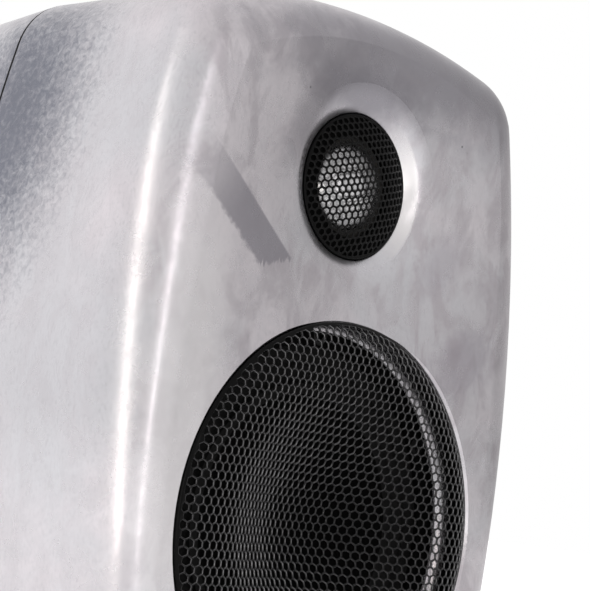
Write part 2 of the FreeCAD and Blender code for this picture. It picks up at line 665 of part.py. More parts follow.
# Front casting: waveguide, woofer recess, thickened rings and screw pillars in one piece
front_half = common("front_half", casting,
                    block("front_space", BEYOND, ("-cut_margin", "seam_depth"), UPRIGHT))
woofer_ring = rod("woofer_ring", "woofer_boss_radius", "0", "woofer_height",
                  "baffle_thickness - boss_overlap", "woofer_boss_depth")
tweeter_ring = rod("tweeter_ring", "tweeter_boss_radius", "0", TWEETER_HEIGHT,
                   "baffle_thickness - boss_overlap", "tweeter_boss_depth")
front_pillars = [
    rod(f"front_pillar_{index}", "shell_boss_radius", x, z, "seam_depth - shell_boss_length", "seam_depth")
    for index, (x, z) in enumerate(SHELL_SCREWS)
]
pillar_webs = [
    block(f"pillar_web_{index}",
          (x, f"{x} + pillar_web_reach") if x.startswith("1") else (f"{x} - pillar_web_reach", x),
          ("seam_depth - shell_boss_length", "seam_depth"), (f"{z} - wall / 2", f"{z} + wall / 2"))
    for index, (x, z) in enumerate(SHELL_SCREWS)
]
front_webs = common("front_webs", fuse("web_blocks", pillar_webs), outer)
front_body = fuse("front_body", [front_half, woofer_ring, tweeter_ring, front_webs] + front_pillars)
waveguide = turned("waveguide", [
    ("0", "cut_margin"), ("guide_radius", "cut_margin"),
    ("guide_radius", "0", ("guide_bow", -1)),
    ("funnel_mouth_radius", "sqrt(guide_bow ^ 2 - (guide_radius - funnel_mouth_radius) ^ 2) - guide_bow",
     ("funnel_bow", -1)),
    ("tweeter_hole_radius", "-tweeter_face_depth"), ("0", "-tweeter_face_depth"),
], TWEETER)
woofer_seat = turned("woofer_seat", [
    ("0", "cut_margin"), ("woofer_recess_radius + woofer_lip + cut_margin", "cut_margin"),
    ("woofer_recess_radius", "-woofer_lip"), ("woofer_recess_radius", "-grille_skirt_depth"),
    ("woofer_well_radius", "-grille_skirt_depth"), ("woofer_well_radius", "-woofer_seat_depth"),
    ("woofer_hole_radius", "-woofer_seat_depth"), ("woofer_hole_radius", "-woofer_boss_depth - cut_margin"),
    ("0", "-woofer_boss_depth - cut_margin"),
], WOOFER)
tweeter_hole = rod("tweeter_hole", "tweeter_hole_radius", "0", TWEETER_HEIGHT,
                   "tweeter_face_depth - boss_overlap", "tweeter_boss_depth + cut_margin")
lamp_hole = rod("lamp_hole", "lamp_radius + thread_gap", "0", "lamp_height", "-cut_margin", "lamp_length")
front_threads = [
    rod(f"front_thread_{index}", "shell_screw_radius + thread_gap", x, z,
        "seam_depth - shell_screw_reach - cut_margin", "seam_depth + cut_margin")
    for index, (x, z) in enumerate(SHELL_SCREWS)
]
woofer_threads = [
    rod(f"woofer_thread_{index}", "woofer_screw_radius + thread_gap", x, f"woofer_height + {z}",
        "woofer_seat_depth - cut_margin", "woofer_boss_depth + cut_margin")
    for index, (x, z) in enumerate(around("woofer_screw_count", "woofer_screw_circle"))
]
tweeter_threads = [
    rod(f"tweeter_thread_{index}", "tweeter_screw_radius + thread_gap", x, f"{TWEETER_HEIGHT} + {z}",
        "tweeter_boss_depth + tweeter_flange_thickness - tweeter_screw_length - cut_margin / 2",
        "tweeter_boss_depth + cut_margin")
    for index, (x, z) in enumerate(around("tweeter_screw_count", "tweeter_screw_circle"))
]
piece("front_shell", cut("front_shell", front_body, [waveguide, woofer_seat, tweeter_hole, lamp_hole]
                         + front_threads + woofer_threads + tweeter_threads
                         + foot_seats("front_seat", "front_foot_depth")))

piece("shell_gasket", common("shell_gasket", casting,
                             block("seam_space", BEYOND, ("seam_depth", REAR_SEAM), UPRIGHT)))

# Rear casting: deep recess for the connector panel, port seat, wall-bracket threads, screw tunnels
rear_half = common("rear_half", casting,
                   block("rear_space", BEYOND, (REAR_SEAM, "2 * cabinet_depth"), UPRIGHT))
RECESS_WIDTH = "(panel_width + 2 * slide_gap)"
RECESS_TALL = "(panel_tall + 2 * slide_gap)"
LEDGE_FACE = f"({PANEL_BACK} - panel_gasket_thickness)"
recess_box = plate("recess_box", [rectangle(
    "0", PANEL_MIDDLE, f"{RECESS_WIDTH} + 2 * recess_wall", f"{RECESS_TALL} + 2 * recess_wall",
    "(panel_corner_radius + recess_wall)")], f"{LEDGE_FACE} - panel_ledge_thickness", "cabinet_depth")
recess_inside = common("recess_inside", recess_box, outer)
rear_tunnels = [
    rod(f"rear_tunnel_{index}", "shell_boss_radius", x, z, REAR_SEAM, "cabinet_depth")
    for index, (x, z) in enumerate(SHELL_SCREWS)
]
tunnels_inside = common("tunnels_inside", fuse("tunnels", rear_tunnels), outer)
bracket_bosses = [
    rod(f"bracket_boss_{index}", "bracket_boss_radius", f"{side} * bracket_spread", "bracket_height",
        "cabinet_depth - bracket_hole_depth - bracket_boss_floor", "cabinet_depth - rear_wall + boss_overlap")
    for index, side in enumerate((-1, 1))
]
rear_body = fuse("rear_body", [rear_half, recess_inside, tunnels_inside] + bracket_bosses)
recess_cut = plate("recess_cut", [
    rectangle("0", PANEL_MIDDLE, RECESS_WIDTH, RECESS_TALL, "panel_corner_radius"),
], LEDGE_FACE, "cabinet_depth + cut_margin")
panel_opening = plate("panel_opening", [
    rectangle("0", PANEL_MIDDLE, f"{RECESS_WIDTH} - 2 * panel_ledge", f"{RECESS_TALL} - 2 * panel_ledge",
              "panel_corner_radius"),
], f"{LEDGE_FACE} - panel_ledge_thickness - cut_margin", "cabinet_depth + cut_margin")
port_seat = rod("port_seat", "port_flange_radius + slide_gap", "0", "port_height",
                "cabinet_depth - port_flange_thickness", "cabinet_depth + cut_margin")
port_hole = rod("port_hole", "port_radius + port_flare + slide_gap", "0", "port_height",
                "cabinet_depth - rear_wall - cut_margin", "cabinet_depth + cut_margin")
bracket_holes = [
    rod(f"bracket_hole_{index}", "bracket_hole_radius", f"{side} * bracket_spread", "bracket_height",
        "cabinet_depth - bracket_hole_depth", "cabinet_depth + cut_margin")
    for index, side in enumerate((-1, 1))
]
SCREW_SEAT = f"({REAR_SEAM} + shell_screw_grip)"
tunnel_bores = [
    rod(f"tunnel_bore_{index}", "shell_screw_head_radius + slide_gap", x, z, SCREW_SEAT,
        "cabinet_depth + cut_margin")
    for index, (x, z) in enumerate(SHELL_SCREWS)
] + [
    rod(f"tunnel_hole_{index}", "shell_screw_radius + slide_gap", x, z, "seam_depth", SCREW_SEAT)
    for index, (x, z) in enumerate(SHELL_SCREWS)
]
PANEL_SCREWS = [
    (f"{side} * (panel_width / 2 - panel_screw_inset)",
     f"{PANEL_MIDDLE} + {end} * (panel_tall / 2 - panel_screw_inset)")
    for side in (-1, 1) for end in (-1, 1)
]
panel_threads = [
    rod(f"panel_thread_{index}", "panel_screw_radius + thread_gap", x, z,
        f"{LEDGE_FACE} - panel_ledge_thickness - cut_margin", "panel_depth")
    for index, (x, z) in enumerate(PANEL_SCREWS)
]
piece("rear_shell", cut("rear_shell", rear_body, [recess_cut, panel_opening, port_seat, port_hole]
                        + bracket_holes + tunnel_bores + panel_threads
                        + foot_seats("rear_seat", "rear_foot_depth")))

SHELL_SCREW = "shell_screw_grip + seam_gasket_thickness + shell_screw_reach"
piece("shell_screws", group("shell_screws", [
    screw(f"shell_screw_{index}", ("shell_screw_radius", SHELL_SCREW),
          ("shell_screw_head_radius", "shell_screw_head_height"), (x, at_depth(SCREW_SEAT), z), "rear")
    for index, (x, z) in enumerate(SHELL_SCREWS)
]))
piece("rubber_feet", group("rubber_feet", [
    turned(f"foot_{index}", [
        ("0", "0"), ("foot_tread_radius", "0"), ("foot_radius", "ground_clearance"),
        ("foot_radius", "foot_seat_height"), ("0", "foot_seat_height"),
    ], (x, at_depth(depth), "0"), "up")
    for index, (x, depth) in enumerate(FEET)
]))
piece("power_lamp", rod("power_lamp", "lamp_radius", "0", "lamp_height", "0", "lamp_length"))
foam_block = block("foam_block", ("-foam_width / 2", "foam_width / 2"),
                   (REAR_SEAM, f"{REAR_SEAM} + foam_length"), (f"{TOP} - wall - foam_thickness", TOP))
piece("damping_foam", common("damping_foam", foam_block, inner))

# Woofer grille: perforated sheet with a skirt, a rolled rim, a crest and a bowl
CREST = "grille_crest_height"
SKIRT = "(woofer_recess_radius - slide_gap)"
INSIDE_SKIRT = f"({SKIRT} - grille_sheet)"
INSIDE_RIM_BOW = "(grille_rim_bow - grille_sheet)"
RIM_LEAN = f"sqrt(1 - (({SKIRT} - grille_crest_radius) / grille_rim_bow) ^ 2)"
INSIDE_LEAN = f"sqrt(1 - (({INSIDE_SKIRT} - grille_crest_radius) / {INSIDE_RIM_BOW}) ^ 2)"
SINE, COSINE = "sin(grille_bowl_slope * 1 deg)", "cos(grille_bowl_slope * 1 deg)"
BOWS = "(grille_crest_bow + grille_bowl_bow)"
BOWL_DROP = (f"({BOWS} * (1 - {COSINE}) + (grille_crest_radius - {BOWS} * {SINE}) * {SINE} / {COSINE})")
grille_sheet_form = turned("grille_sheet_form", [
    ("0", f"{CREST} - {BOWL_DROP}", ("grille_bowl_bow", -1)),
    (f"grille_bowl_bow * {SINE}", f"{CREST} - {BOWL_DROP} + grille_bowl_bow * (1 - {COSINE})"),
    (f"grille_crest_radius - grille_crest_bow * {SINE}", f"{CREST} - grille_crest_bow * (1 - {COSINE})",
     ("grille_crest_bow", 1)),
    ("grille_crest_radius", CREST, ("grille_rim_bow", 1)),
    (SKIRT, f"{CREST} - grille_rim_bow * (1 - {RIM_LEAN})"),
    (SKIRT, "-grille_skirt_depth"), (INSIDE_SKIRT, "-grille_skirt_depth"),
    (INSIDE_SKIRT, f"{CREST} - grille_rim_bow + {INSIDE_RIM_BOW} * {INSIDE_LEAN}", (INSIDE_RIM_BOW, -1)),
    ("grille_crest_radius", f"{CREST} - grille_sheet", ("grille_crest_bow - grille_sheet", -1)),
    (f"grille_crest_radius - (grille_crest_bow - grille_sheet) * {SINE}",
     f"{CREST} - grille_crest_bow + (grille_crest_bow - grille_sheet) * {COSINE}"),
    (f"(grille_bowl_bow + grille_sheet) * {SINE}",
     f"{CREST} - {BOWL_DROP} + grille_bowl_bow - (grille_bowl_bow + grille_sheet) * {COSINE}",
     ("grille_bowl_bow + grille_sheet", 1)),
    ("0", f"{CREST} - {BOWL_DROP} - grille_sheet"),
], WOOFER)
grille_punches = honeycomb("grille_punches", "woofer_height",
                           f"{SKIRT} - grille_border",
                           "grille_pitch", "grille_bar", f"-{CREST} - cut_margin", "cap_centre_depth")
piece("woofer_grille", cut("woofer_grille", grille_sheet_form, [grille_punches]))

# Woofer basket and its fixing
BASKET_BACK = "(woofer_seat_depth - woofer_gasket_thickness)"
BASKET_RADIUS = "(woofer_well_radius - slide_gap)"
TUB_RADIUS = "(woofer_hole_radius - slide_gap)"
LEDGE_RADIUS = "(spider_radius + slide_gap)"
BACK_WALL = f"({LEDGE_RADIUS} - 2 * basket_wall)"
basket = turned("basket", [
    ("surround_outer_radius + slide_gap", "-woofer_flange_depth"), (BASKET_RADIUS, "-woofer_flange_depth"),
    (BASKET_RADIUS, f"-{BASKET_BACK}"), (TUB_RADIUS, f"-{BASKET_BACK}"),
    (TUB_RADIUS, "-woofer_seat_depth - basket_wall"),
    (f"{LEDGE_RADIUS} + basket_wall", "-spider_depth"),
    (f"{LEDGE_RADIUS} + basket_wall", "-spider_depth - basket_wall"),
    (f"{BACK_WALL} + basket_wall", "-spider_depth - 2 * basket_wall"),
    (f"{BACK_WALL} + basket_wall", "-basket_back_depth"),
    ("basket_back_opening", "-basket_back_depth"),
    ("basket_back_opening", "-basket_back_depth + basket_back_plate"),
    (BACK_WALL, "-basket_back_depth + basket_back_plate"), (BACK_WALL, "-spider_depth"),
    (LEDGE_RADIUS, "-spider_depth"), (LEDGE_RADIUS, "-spider_depth + basket_wall"),
    ("roll_outer_radius + basket_wall / 2", "-surround_landing_depth - roll_bow - basket_wall / 2"),
    ("roll_outer_radius + basket_wall / 2", "-surround_landing_depth"),
    ("surround_outer_radius + slide_gap", "-surround_landing_depth"),
], WOOFER)
window_sketch = new_sketch(basket, "XY_Plane", "basket_window", "-spider_depth")
WINDOW_SINE, WINDOW_COSINE = "sin(basket_window_angle * 0.5 deg)", "cos(basket_window_angle * 0.5 deg)"
outline(window_sketch, [
    (f"-basket_window_inner * {WINDOW_SINE}", f"basket_window_inner * {WINDOW_COSINE}",
     ("basket_window_inner", 1)),
    (f"basket_window_inner * {WINDOW_SINE}", f"basket_window_inner * {WINDOW_COSINE}"),
    (f"basket_window_outer * {WINDOW_SINE}", f"basket_window_outer * {WINDOW_COSINE}",
     ("basket_window_outer", -1)),
    (f"-basket_window_outer * {WINDOW_SINE}", f"basket_window_outer * {WINDOW_COSINE}"),
])
window = basket.newObject("PartDesign::Pocket", "basket_window_cut")
window.Profile = window_sketch
window.Reversed = True
window.setExpression("Length", bind("spider_depth - surround_landing_depth"))
doc.recompute()
windows = basket.newObject("PartDesign::PolarPattern", "basket_windows")
windows.Originals = [window]
windows.Axis = (window_sketch, ["N_Axis"])
windows.Angle = 360
windows.setExpression("Occurrences", bind("basket_window_count"))
basket.Tip = windows
SCREW_HEAD_SEAT = "(woofer_flange_depth + woofer_screw_sink + woofer_screw_head_height)"
WOOFER_SCREWS = [
    (x, f"woofer_height + {z}") for x, z in around("woofer_screw_count", "woofer_screw_circle")
]
head_wells = [
    rod(f"head_well_{index}", "woofer_screw_head_radius + slide_gap / 2", x, z,
        "woofer_flange_depth - cut_margin", SCREW_HEAD_SEAT)
    for index, (x, z) in enumerate(WOOFER_SCREWS)
]
flange_holes = [
    rod(f"flange_hole_{index}", "woofer_screw_radius + slide_gap / 2", x, z, "0", "woofer_seat_depth")
    for index, (x, z) in enumerate(WOOFER_SCREWS)
]
piece("woofer_basket", cut("woofer_basket", basket, head_wells + flange_holes))
piece("woofer_gasket", plate("woofer_gasket", [
    ("0", "woofer_height", BASKET_RADIUS), ("0", "woofer_height", "woofer_hole_radius"),
] + [
    (x, z, "woofer_screw_radius + slide_gap / 2") for x, z in WOOFER_SCREWS
], BASKET_BACK, "woofer_seat_depth"))
piece("woofer_screws", group("woofer_screws", [
    screw(f"woofer_screw_{index}", ("woofer_screw_radius", "woofer_screw_length"),
          ("woofer_screw_head_radius", "woofer_screw_head_height"),
          (x, at_depth(SCREW_HEAD_SEAT), z), "front")
    for index, (x, z) in enumerate(WOOFER_SCREWS)
]))

# Woofer moving parts: cone, cap, coil, and the two suspensions that carry them
LANDING = "surround_landing_depth"
piece("woofer_surround", turned("woofer_surround", [
    ("cone_lip_radius", f"-{LANDING}"), ("roll_inner_radius", f"-{LANDING}", ("roll_bow", -1)),
    ("roll_outer_radius", f"-{LANDING}"), ("surround_outer_radius", f"-{LANDING}"),
    ("surround_outer_radius", f"surround_sheet - {LANDING}"),
    ("roll_outer_radius", f"surround_sheet - {LANDING}", ("roll_bow", 1)),
    ("roll_inner_radius", f"surround_sheet - {LANDING}"), ("cone_lip_radius", f"surround_sheet - {LANDING}"),
], WOOFER))
FORMER_OUTER = "(former_radius + former_sheet)"
NECK = f"({FORMER_OUTER} + thread_gap)"
piece("woofer_cone", turned("woofer_cone", [
    (NECK, "-cone_neck_depth"), ("cone_lip_radius", f"-{LANDING}"), ("roll_inner_radius", f"-{LANDING}"),
    ("roll_inner_radius", f"-{LANDING} - cone_sheet"), ("cone_lip_radius", f"-{LANDING} - cone_sheet"),
    (NECK, "-cone_neck_depth - cone_sheet"),
], WOOFER))
CAP_FOOT = (f"({LANDING} + (cone_lip_radius - cap_radius) * (cone_neck_depth - {LANDING})"
            f" / (cone_lip_radius - {NECK}) - thread_gap)")
CAP_RISE = f"(cap_centre_depth - {CAP_FOOT} + cap_sheet)"
CAP_BOW = f"((cap_radius ^ 2 + {CAP_RISE} ^ 2) / (2 * {CAP_RISE}))"
piece("woofer_dust_cap", turned("woofer_dust_cap", [
    ("0", "-cap_centre_depth", (CAP_BOW, -1)), ("cap_radius", f"-{CAP_FOOT} + cap_sheet"),
    ("cap_radius", f"-{CAP_FOOT}", (CAP_BOW, 1)), ("0", "-cap_centre_depth - cap_sheet"),
], WOOFER))
piece("woofer_voice_coil", turned("woofer_voice_coil", [
    ("former_radius", "-cone_neck_depth"), (FORMER_OUTER, "-cone_neck_depth"),
    (FORMER_OUTER, "-coil_start_depth"), (f"{FORMER_OUTER} + coil_build", "-coil_start_depth"),
    (f"{FORMER_OUTER} + coil_build", "-coil_start_depth - coil_length"),
    ("former_radius", "-coil_start_depth - coil_length"),
], WOOFER))
SPIDER_FACE = "-spider_depth + spider_sheet"
wave_count = int((number(BACK_WALL) - number(NECK)) / number("spider_wave_pitch"))
wave_top = [(NECK, SPIDER_FACE)] + [
    (f"{NECK} + {index} * spider_wave_pitch", f"{SPIDER_FACE} + {index % 2} * spider_wave")
    for index in range(1, wave_count)
] + [(BACK_WALL, SPIDER_FACE), ("spider_radius", SPIDER_FACE)]
piece("woofer_spider", turned("woofer_spider", wave_top + [
    (radius, f"{height} - spider_sheet") for radius, height in reversed(wave_top)
], WOOFER))

# Woofer magnet system
PLATE_BACK = "(basket_back_depth + top_plate_thickness)"
MAGNET_BACK = f"({PLATE_BACK} + magnet_thickness)"
piece("woofer_top_plate", plate("woofer_top_plate", [
    ("0", "woofer_height", "top_plate_radius"),
    ("0", "woofer_height", f"{FORMER_OUTER} + coil_build + magnet_gap"),
], "basket_back_depth", PLATE_BACK))
piece("woofer_magnet", plate("woofer_magnet", [
    ("0", "woofer_height", "magnet_radius"), ("0", "woofer_height", "magnet_hole_radius"),
], PLATE_BACK, MAGNET_BACK))
piece("woofer_yoke", turned("woofer_yoke", [
    ("pole_vent_radius", "-basket_back_depth"), ("former_radius - magnet_gap", "-basket_back_depth"),
    ("former_radius - magnet_gap", f"-{MAGNET_BACK}"), ("top_plate_radius", f"-{MAGNET_BACK}"),
    ("top_plate_radius", f"-{MAGNET_BACK} - yoke_thickness"),
    ("pole_vent_radius", f"-{MAGNET_BACK} - yoke_thickness"),
], WOOFER))

# Tweeter: grille and dome in a chassis that is screwed on from behind
FACE = "tweeter_face_depth"
RIM_INNER = "(tweeter_grille_radius - tweeter_grille_rim)"
TWEETER_BOW = f"(({RIM_INNER} ^ 2 + tweeter_grille_rise ^ 2) / (2 * tweeter_grille_rise))"
tweeter_sheet = turned("tweeter_sheet", [
    ("0", f"-{FACE} + tweeter_grille_rise", (TWEETER_BOW, 1)), (RIM_INNER, f"-{FACE}"),
    ("tweeter_grille_radius", f"-{FACE}"), ("tweeter_grille_radius", f"-{FACE} + tweeter_grille_sheet"),
    (RIM_INNER, f"-{FACE} + tweeter_grille_sheet", (TWEETER_BOW, -1)),
    ("0", f"-{FACE} + tweeter_grille_rise + tweeter_grille_sheet"),
], TWEETER)
tweeter_punches = honeycomb("tweeter_punches", TWEETER_HEIGHT, RIM_INNER, "tweeter_grille_pitch",
                            "tweeter_grille_bar", "-cut_margin", "tweeter_face_depth + cut_margin")
piece("tweeter_grille", cut("tweeter_grille", tweeter_sheet, [tweeter_punches]))
RING_BACK = f"({FACE} + tweeter_ring_thickness)"
FLANGE_BACK = "(tweeter_boss_depth + tweeter_flange_thickness)"
CHASSIS_RADIUS = "(tweeter_hole_radius - slide_gap)"
TWEETER_SCREWS = [
    (x, f"{TWEETER_HEIGHT} + {z}") for x, z in around("tweeter_screw_count", "tweeter_screw_circle")
]
chassis = turned("chassis", [
    ("tweeter_mouth_radius", f"-{FACE}"), (CHASSIS_RADIUS, f"-{FACE}"),
    (CHASSIS_RADIUS, "-tweeter_boss_depth"), ("tweeter_flange_radius", "-tweeter_boss_depth"),
    ("tweeter_flange_radius", f"-{FLANGE_BACK}"), ("tweeter_bore_radius", f"-{FLANGE_BACK}"),
    ("tweeter_bore_radius", f"-{RING_BACK}"), ("tweeter_mouth_radius", f"-{RING_BACK}"),
], TWEETER)
piece("tweeter_chassis", cut("tweeter_chassis", chassis, [
    rod(f"chassis_hole_{index}", "tweeter_screw_radius + slide_gap / 2", x, z,
        "tweeter_boss_depth - cut_margin", f"{FLANGE_BACK} + cut_margin")
    for index, (x, z) in enumerate(TWEETER_SCREWS)
]))
piece("tweeter_screws", group("tweeter_screws", [
    screw(f"tweeter_screw_{index}", ("tweeter_screw_radius", "tweeter_screw_length"),
          ("tweeter_screw_head_radius", "tweeter_screw_head_height"), (x, at_depth(FLANGE_BACK), z), "rear")
    for index, (x, z) in enumerate(TWEETER_SCREWS)
]))
DOME_FOOT = f"({RING_BACK} + suspension_sheet)"
DOME_BOW = "((dome_radius ^ 2 + dome_height ^ 2) / (2 * dome_height))"
piece("tweeter_dome", turned("tweeter_dome", [
    ("0", f"-{DOME_FOOT} + dome_height", (DOME_BOW, 1)), ("dome_radius", f"-{DOME_FOOT}"),
    ("dome_radius", f"-{DOME_FOOT} + dome_sheet", (DOME_BOW, -1)),
    ("0", f"-{DOME_FOOT} + dome_height + dome_sheet"),
], TWEETER))
CUP_RADIUS = "(tweeter_bore_radius - thread_gap)"
piece("tweeter_suspension", turned("tweeter_suspension", [
    ("dome_radius + thread_gap", f"-{DOME_FOOT}", ("dome_roll_bow", 1)),
    ("dome_roll_radius", f"-{DOME_FOOT}"), (CUP_RADIUS, f"-{DOME_FOOT}"), (CUP_RADIUS, f"-{RING_BACK}"),
    ("dome_roll_radius", f"-{RING_BACK}", ("dome_roll_bow", -1)),
    ("dome_radius + thread_gap", f"-{RING_BACK}"),
], TWEETER))
COIL_OUTER = "dome_radius"
COIL_INNER = "(dome_radius - tweeter_coil_build)"
piece("tweeter_voice_coil", turned("tweeter_voice_coil", [
    (COIL_INNER, f"-{DOME_FOOT}"), (COIL_OUTER, f"-{DOME_FOOT}"),
    (COIL_OUTER, f"-{DOME_FOOT} - tweeter_coil_length"), (COIL_INNER, f"-{DOME_FOOT} - tweeter_coil_length"),
], TWEETER))
POLE_BACK = f"({DOME_FOOT} + tweeter_pole_start + tweeter_pole_thickness)"
SLUG_BACK = f"({POLE_BACK} + tweeter_slug_thickness)"
piece("tweeter_pole_plate", rod("tweeter_pole_plate", f"{COIL_INNER} - magnet_gap", "0", TWEETER_HEIGHT,
                                f"{DOME_FOOT} + tweeter_pole_start", POLE_BACK))
piece("tweeter_magnet", rod("tweeter_magnet", "tweeter_slug_radius", "0", TWEETER_HEIGHT,
                            POLE_BACK, SLUG_BACK))
piece("tweeter_cup", turned("tweeter_cup", [
    (f"{COIL_OUTER} + magnet_gap", f"-{DOME_FOOT}"), (CUP_RADIUS, f"-{DOME_FOOT}"),
    (CUP_RADIUS, f"-{SLUG_BACK} - tweeter_cup_floor"), ("0", f"-{SLUG_BACK} - tweeter_cup_floor"),
    ("0", f"-{SLUG_BACK}"), ("tweeter_cup_radius", f"-{SLUG_BACK}"),
    ("tweeter_cup_radius", f"-{DOME_FOOT} - tweeter_cup_throat"),
    (f"{COIL_OUTER} + magnet_gap", f"-{DOME_FOOT} - tweeter_cup_throat"),
], TWEETER))

# Reflex port: a flared tube pushed in from the rear
PORT_OUTER = "(port_radius + port_wall)"
piece("reflex_port", turned("reflex_port", [
    ("port_radius", "-port_length + port_flare", ("port_flare", -1)),
    ("port_radius + port_flare", "-port_length"),
    ("port_radius + port_flare + port_wall", "-port_length", ("port_flare", 1)),
    (PORT_OUTER, "-port_length + port_flare"), (PORT_OUTER, "-port_flange_thickness - port_flare"),
    ("port_radius + port_flare", "-port_flange_thickness"), ("port_flange_radius", "-port_flange_thickness"),
    ("port_flange_radius", "0"), ("port_radius + port_flare", "0", ("port_flare", -1)),
    ("port_radius", "-port_flare"),
], ("0", at_depth("cabinet_depth"), "port_height"), "rear"))

# Connector panel with its seal and screws
ROW_LEFT, ROW_RIGHT = "-row_spread", "row_spread"
SWITCH_RIM = "2 * (rocker_frame - rocker_frame_lip)"
ROCKER_OUTER = (f"(rocker_width + {SWITCH_RIM})", f"(rocker_tall + {SWITCH_RIM})")
panel_screw_holes = [(x, z, "panel_screw_radius + slide_gap / 2") for x, z in PANEL_SCREWS]
piece("connector_panel", plate("connector_panel", [
    rectangle("0", PANEL_MIDDLE, "panel_width", "panel_tall", "panel_corner_radius"),
    (ROW_LEFT, "socket_row_height", "audio_barrel_radius + slide_gap"),
    ("0", "socket_row_height", "audio_barrel_radius + slide_gap"),
    rectangle(ROW_RIGHT, "socket_row_height", "(mains_body_width + 2 * slide_gap)",
              "(mains_body_height + 2 * slide_gap)"),
    (ROW_LEFT, "control_row_height", "bush_radius"),
    rectangle("0", "control_row_height", "(tone_width + 2 * slide_gap)", "(tone_tall + 2 * slide_gap)"),
    rectangle(ROW_RIGHT, "control_row_height", f"({ROCKER_OUTER[0]} + 2 * slide_gap)",
              f"({ROCKER_OUTER[1]} + 2 * slide_gap)"),
] + panel_screw_holes, PANEL_BACK, "panel_depth"))
piece("panel_gasket", plate("panel_gasket", [
    rectangle("0", PANEL_MIDDLE, "panel_width", "panel_tall", "panel_corner_radius"),
    rectangle("0", PANEL_MIDDLE, f"({RECESS_WIDTH} - 2 * panel_ledge)", f"({RECESS_TALL} - 2 * panel_ledge)",
              "panel_corner_radius"),
] + panel_screw_holes, LEDGE_FACE, PANEL_BACK))
piece("panel_screws", group("panel_screws", [
    screw(f"panel_screw_{index}", ("panel_screw_radius", "panel_screw_length"),
          ("panel_screw_head_radius", "panel_screw_head_height"), (x, at_depth("panel_depth"), z), "rear")
    for index, (x, z) in enumerate(PANEL_SCREWS)
]))
BOARD_BACK = "(board_depth + board_thickness)"

# Audio sockets, three-pole, one with holes and one with pins
FLANGE_FACE = "(panel_depth + audio_flange_thickness)"


def audio_socket(label, x):
    """Flange and barrel of one socket."""
    flange = plate(label + "_flange", [rectangle(
        x, "socket_row_height", "audio_flange_width", "audio_flange_height", "audio_corner_radius")],
        "panel_depth", FLANGE_FACE)
    sleeve = rod(label + "_sleeve", "audio_barrel_radius", x, "socket_row_height", BOARD_BACK, FLANGE_FACE)
    return fuse(label + "_form", [flange, sleeve])


def contacts(label, x, radius, near, far):
    """Rods on the contact circle."""
    return [
        rod(f"{label}_{index}", radius, f"{x} + {dx}", f"socket_row_height + {dz}", near, far)
        for index, (dx, dz) in enumerate(around("contact_count", "contact_circle", "contact_start"))
    ]


MOUTH_FLOOR = f"({FLANGE_FACE} - audio_mouth_depth)"
input_mouth = plate("input_mouth", [
    (ROW_LEFT, "socket_row_height", "audio_mouth_radius"),
    (ROW_LEFT, "socket_row_height", "audio_insert_radius"),
], MOUTH_FLOOR, f"{FLANGE_FACE} + cut_margin")
input_holes = contacts("input_hole", ROW_LEFT, "contact_radius", f"{FLANGE_FACE} - contact_length",
                       f"{FLANGE_FACE} + cut_margin")
piece("audio_input_socket", cut("audio_input_socket", audio_socket("audio_input", ROW_LEFT),
                                [input_mouth] + input_holes))
output_mouth = rod("output_mouth", "audio_mouth_radius", "0", "socket_row_height", MOUTH_FLOOR,
                   f"{FLANGE_FACE} + cut_margin")
piece("audio_output_socket", cut("audio_output_socket", audio_socket("audio_output", "0"), [output_mouth]))
piece("output_pins", group("output_pins", contacts("output_pin", "0", "contact_radius", MOUTH_FLOOR,
                                                   f"{MOUTH_FLOOR} + contact_length")))

# Mains inlet with three flat pins
MAINS_FACE = "(panel_depth + mains_flange_thickness)"
MAINS_FLOOR = f"({MAINS_FACE} - mains_mouth_depth)"
mains_flange = plate("mains_flange", [rectangle(
    ROW_RIGHT, "socket_row_height", "mains_flange_width", "mains_flange_height", "audio_corner_radius")],
    "panel_depth", MAINS_FACE)
mains_body = plate("mains_body", [rectangle(
    ROW_RIGHT, "socket_row_height", "mains_body_width", "mains_body_height")], BOARD_BACK, MAINS_FACE)
MOUTH_LEFT, MOUTH_RIGHT = (f"{ROW_RIGHT} {sign} mains_mouth_width / 2" for sign in "-+")
MOUTH_LOW, MOUTH_HIGH = (f"socket_row_height {sign} mains_mouth_height / 2" for sign in "-+")
mains_mouth = plate("mains_mouth", [[
    (MOUTH_LEFT, MOUTH_LOW), (MOUTH_RIGHT, MOUTH_LOW), (MOUTH_RIGHT, f"{MOUTH_HIGH} - mains_mouth_corner"),
    (f"{MOUTH_RIGHT} - mains_mouth_corner", MOUTH_HIGH), (f"{MOUTH_LEFT} + mains_mouth_corner", MOUTH_HIGH),
    (MOUTH_LEFT, f"{MOUTH_HIGH} - mains_mouth_corner"),
]], MAINS_FLOOR, f"{MAINS_FACE} + cut_margin")
piece("mains_inlet", cut("mains_inlet", fuse("mains_form", [mains_flange, mains_body]), [mains_mouth]))
piece("mains_pins", group("mains_pins", [
    plate(f"mains_pin_{index}", [rectangle(
        f"{ROW_RIGHT} + {side} * mains_pin_spread", f"socket_row_height + {rise} * mains_pin_rise",
        "mains_pin_width", "mains_pin_height")], MAINS_FLOOR, f"{MAINS_FLOOR} + mains_pin_length")
    for index, (side, rise) in enumerate(((-1, -1), (0, 1), (1, -1)))
]))

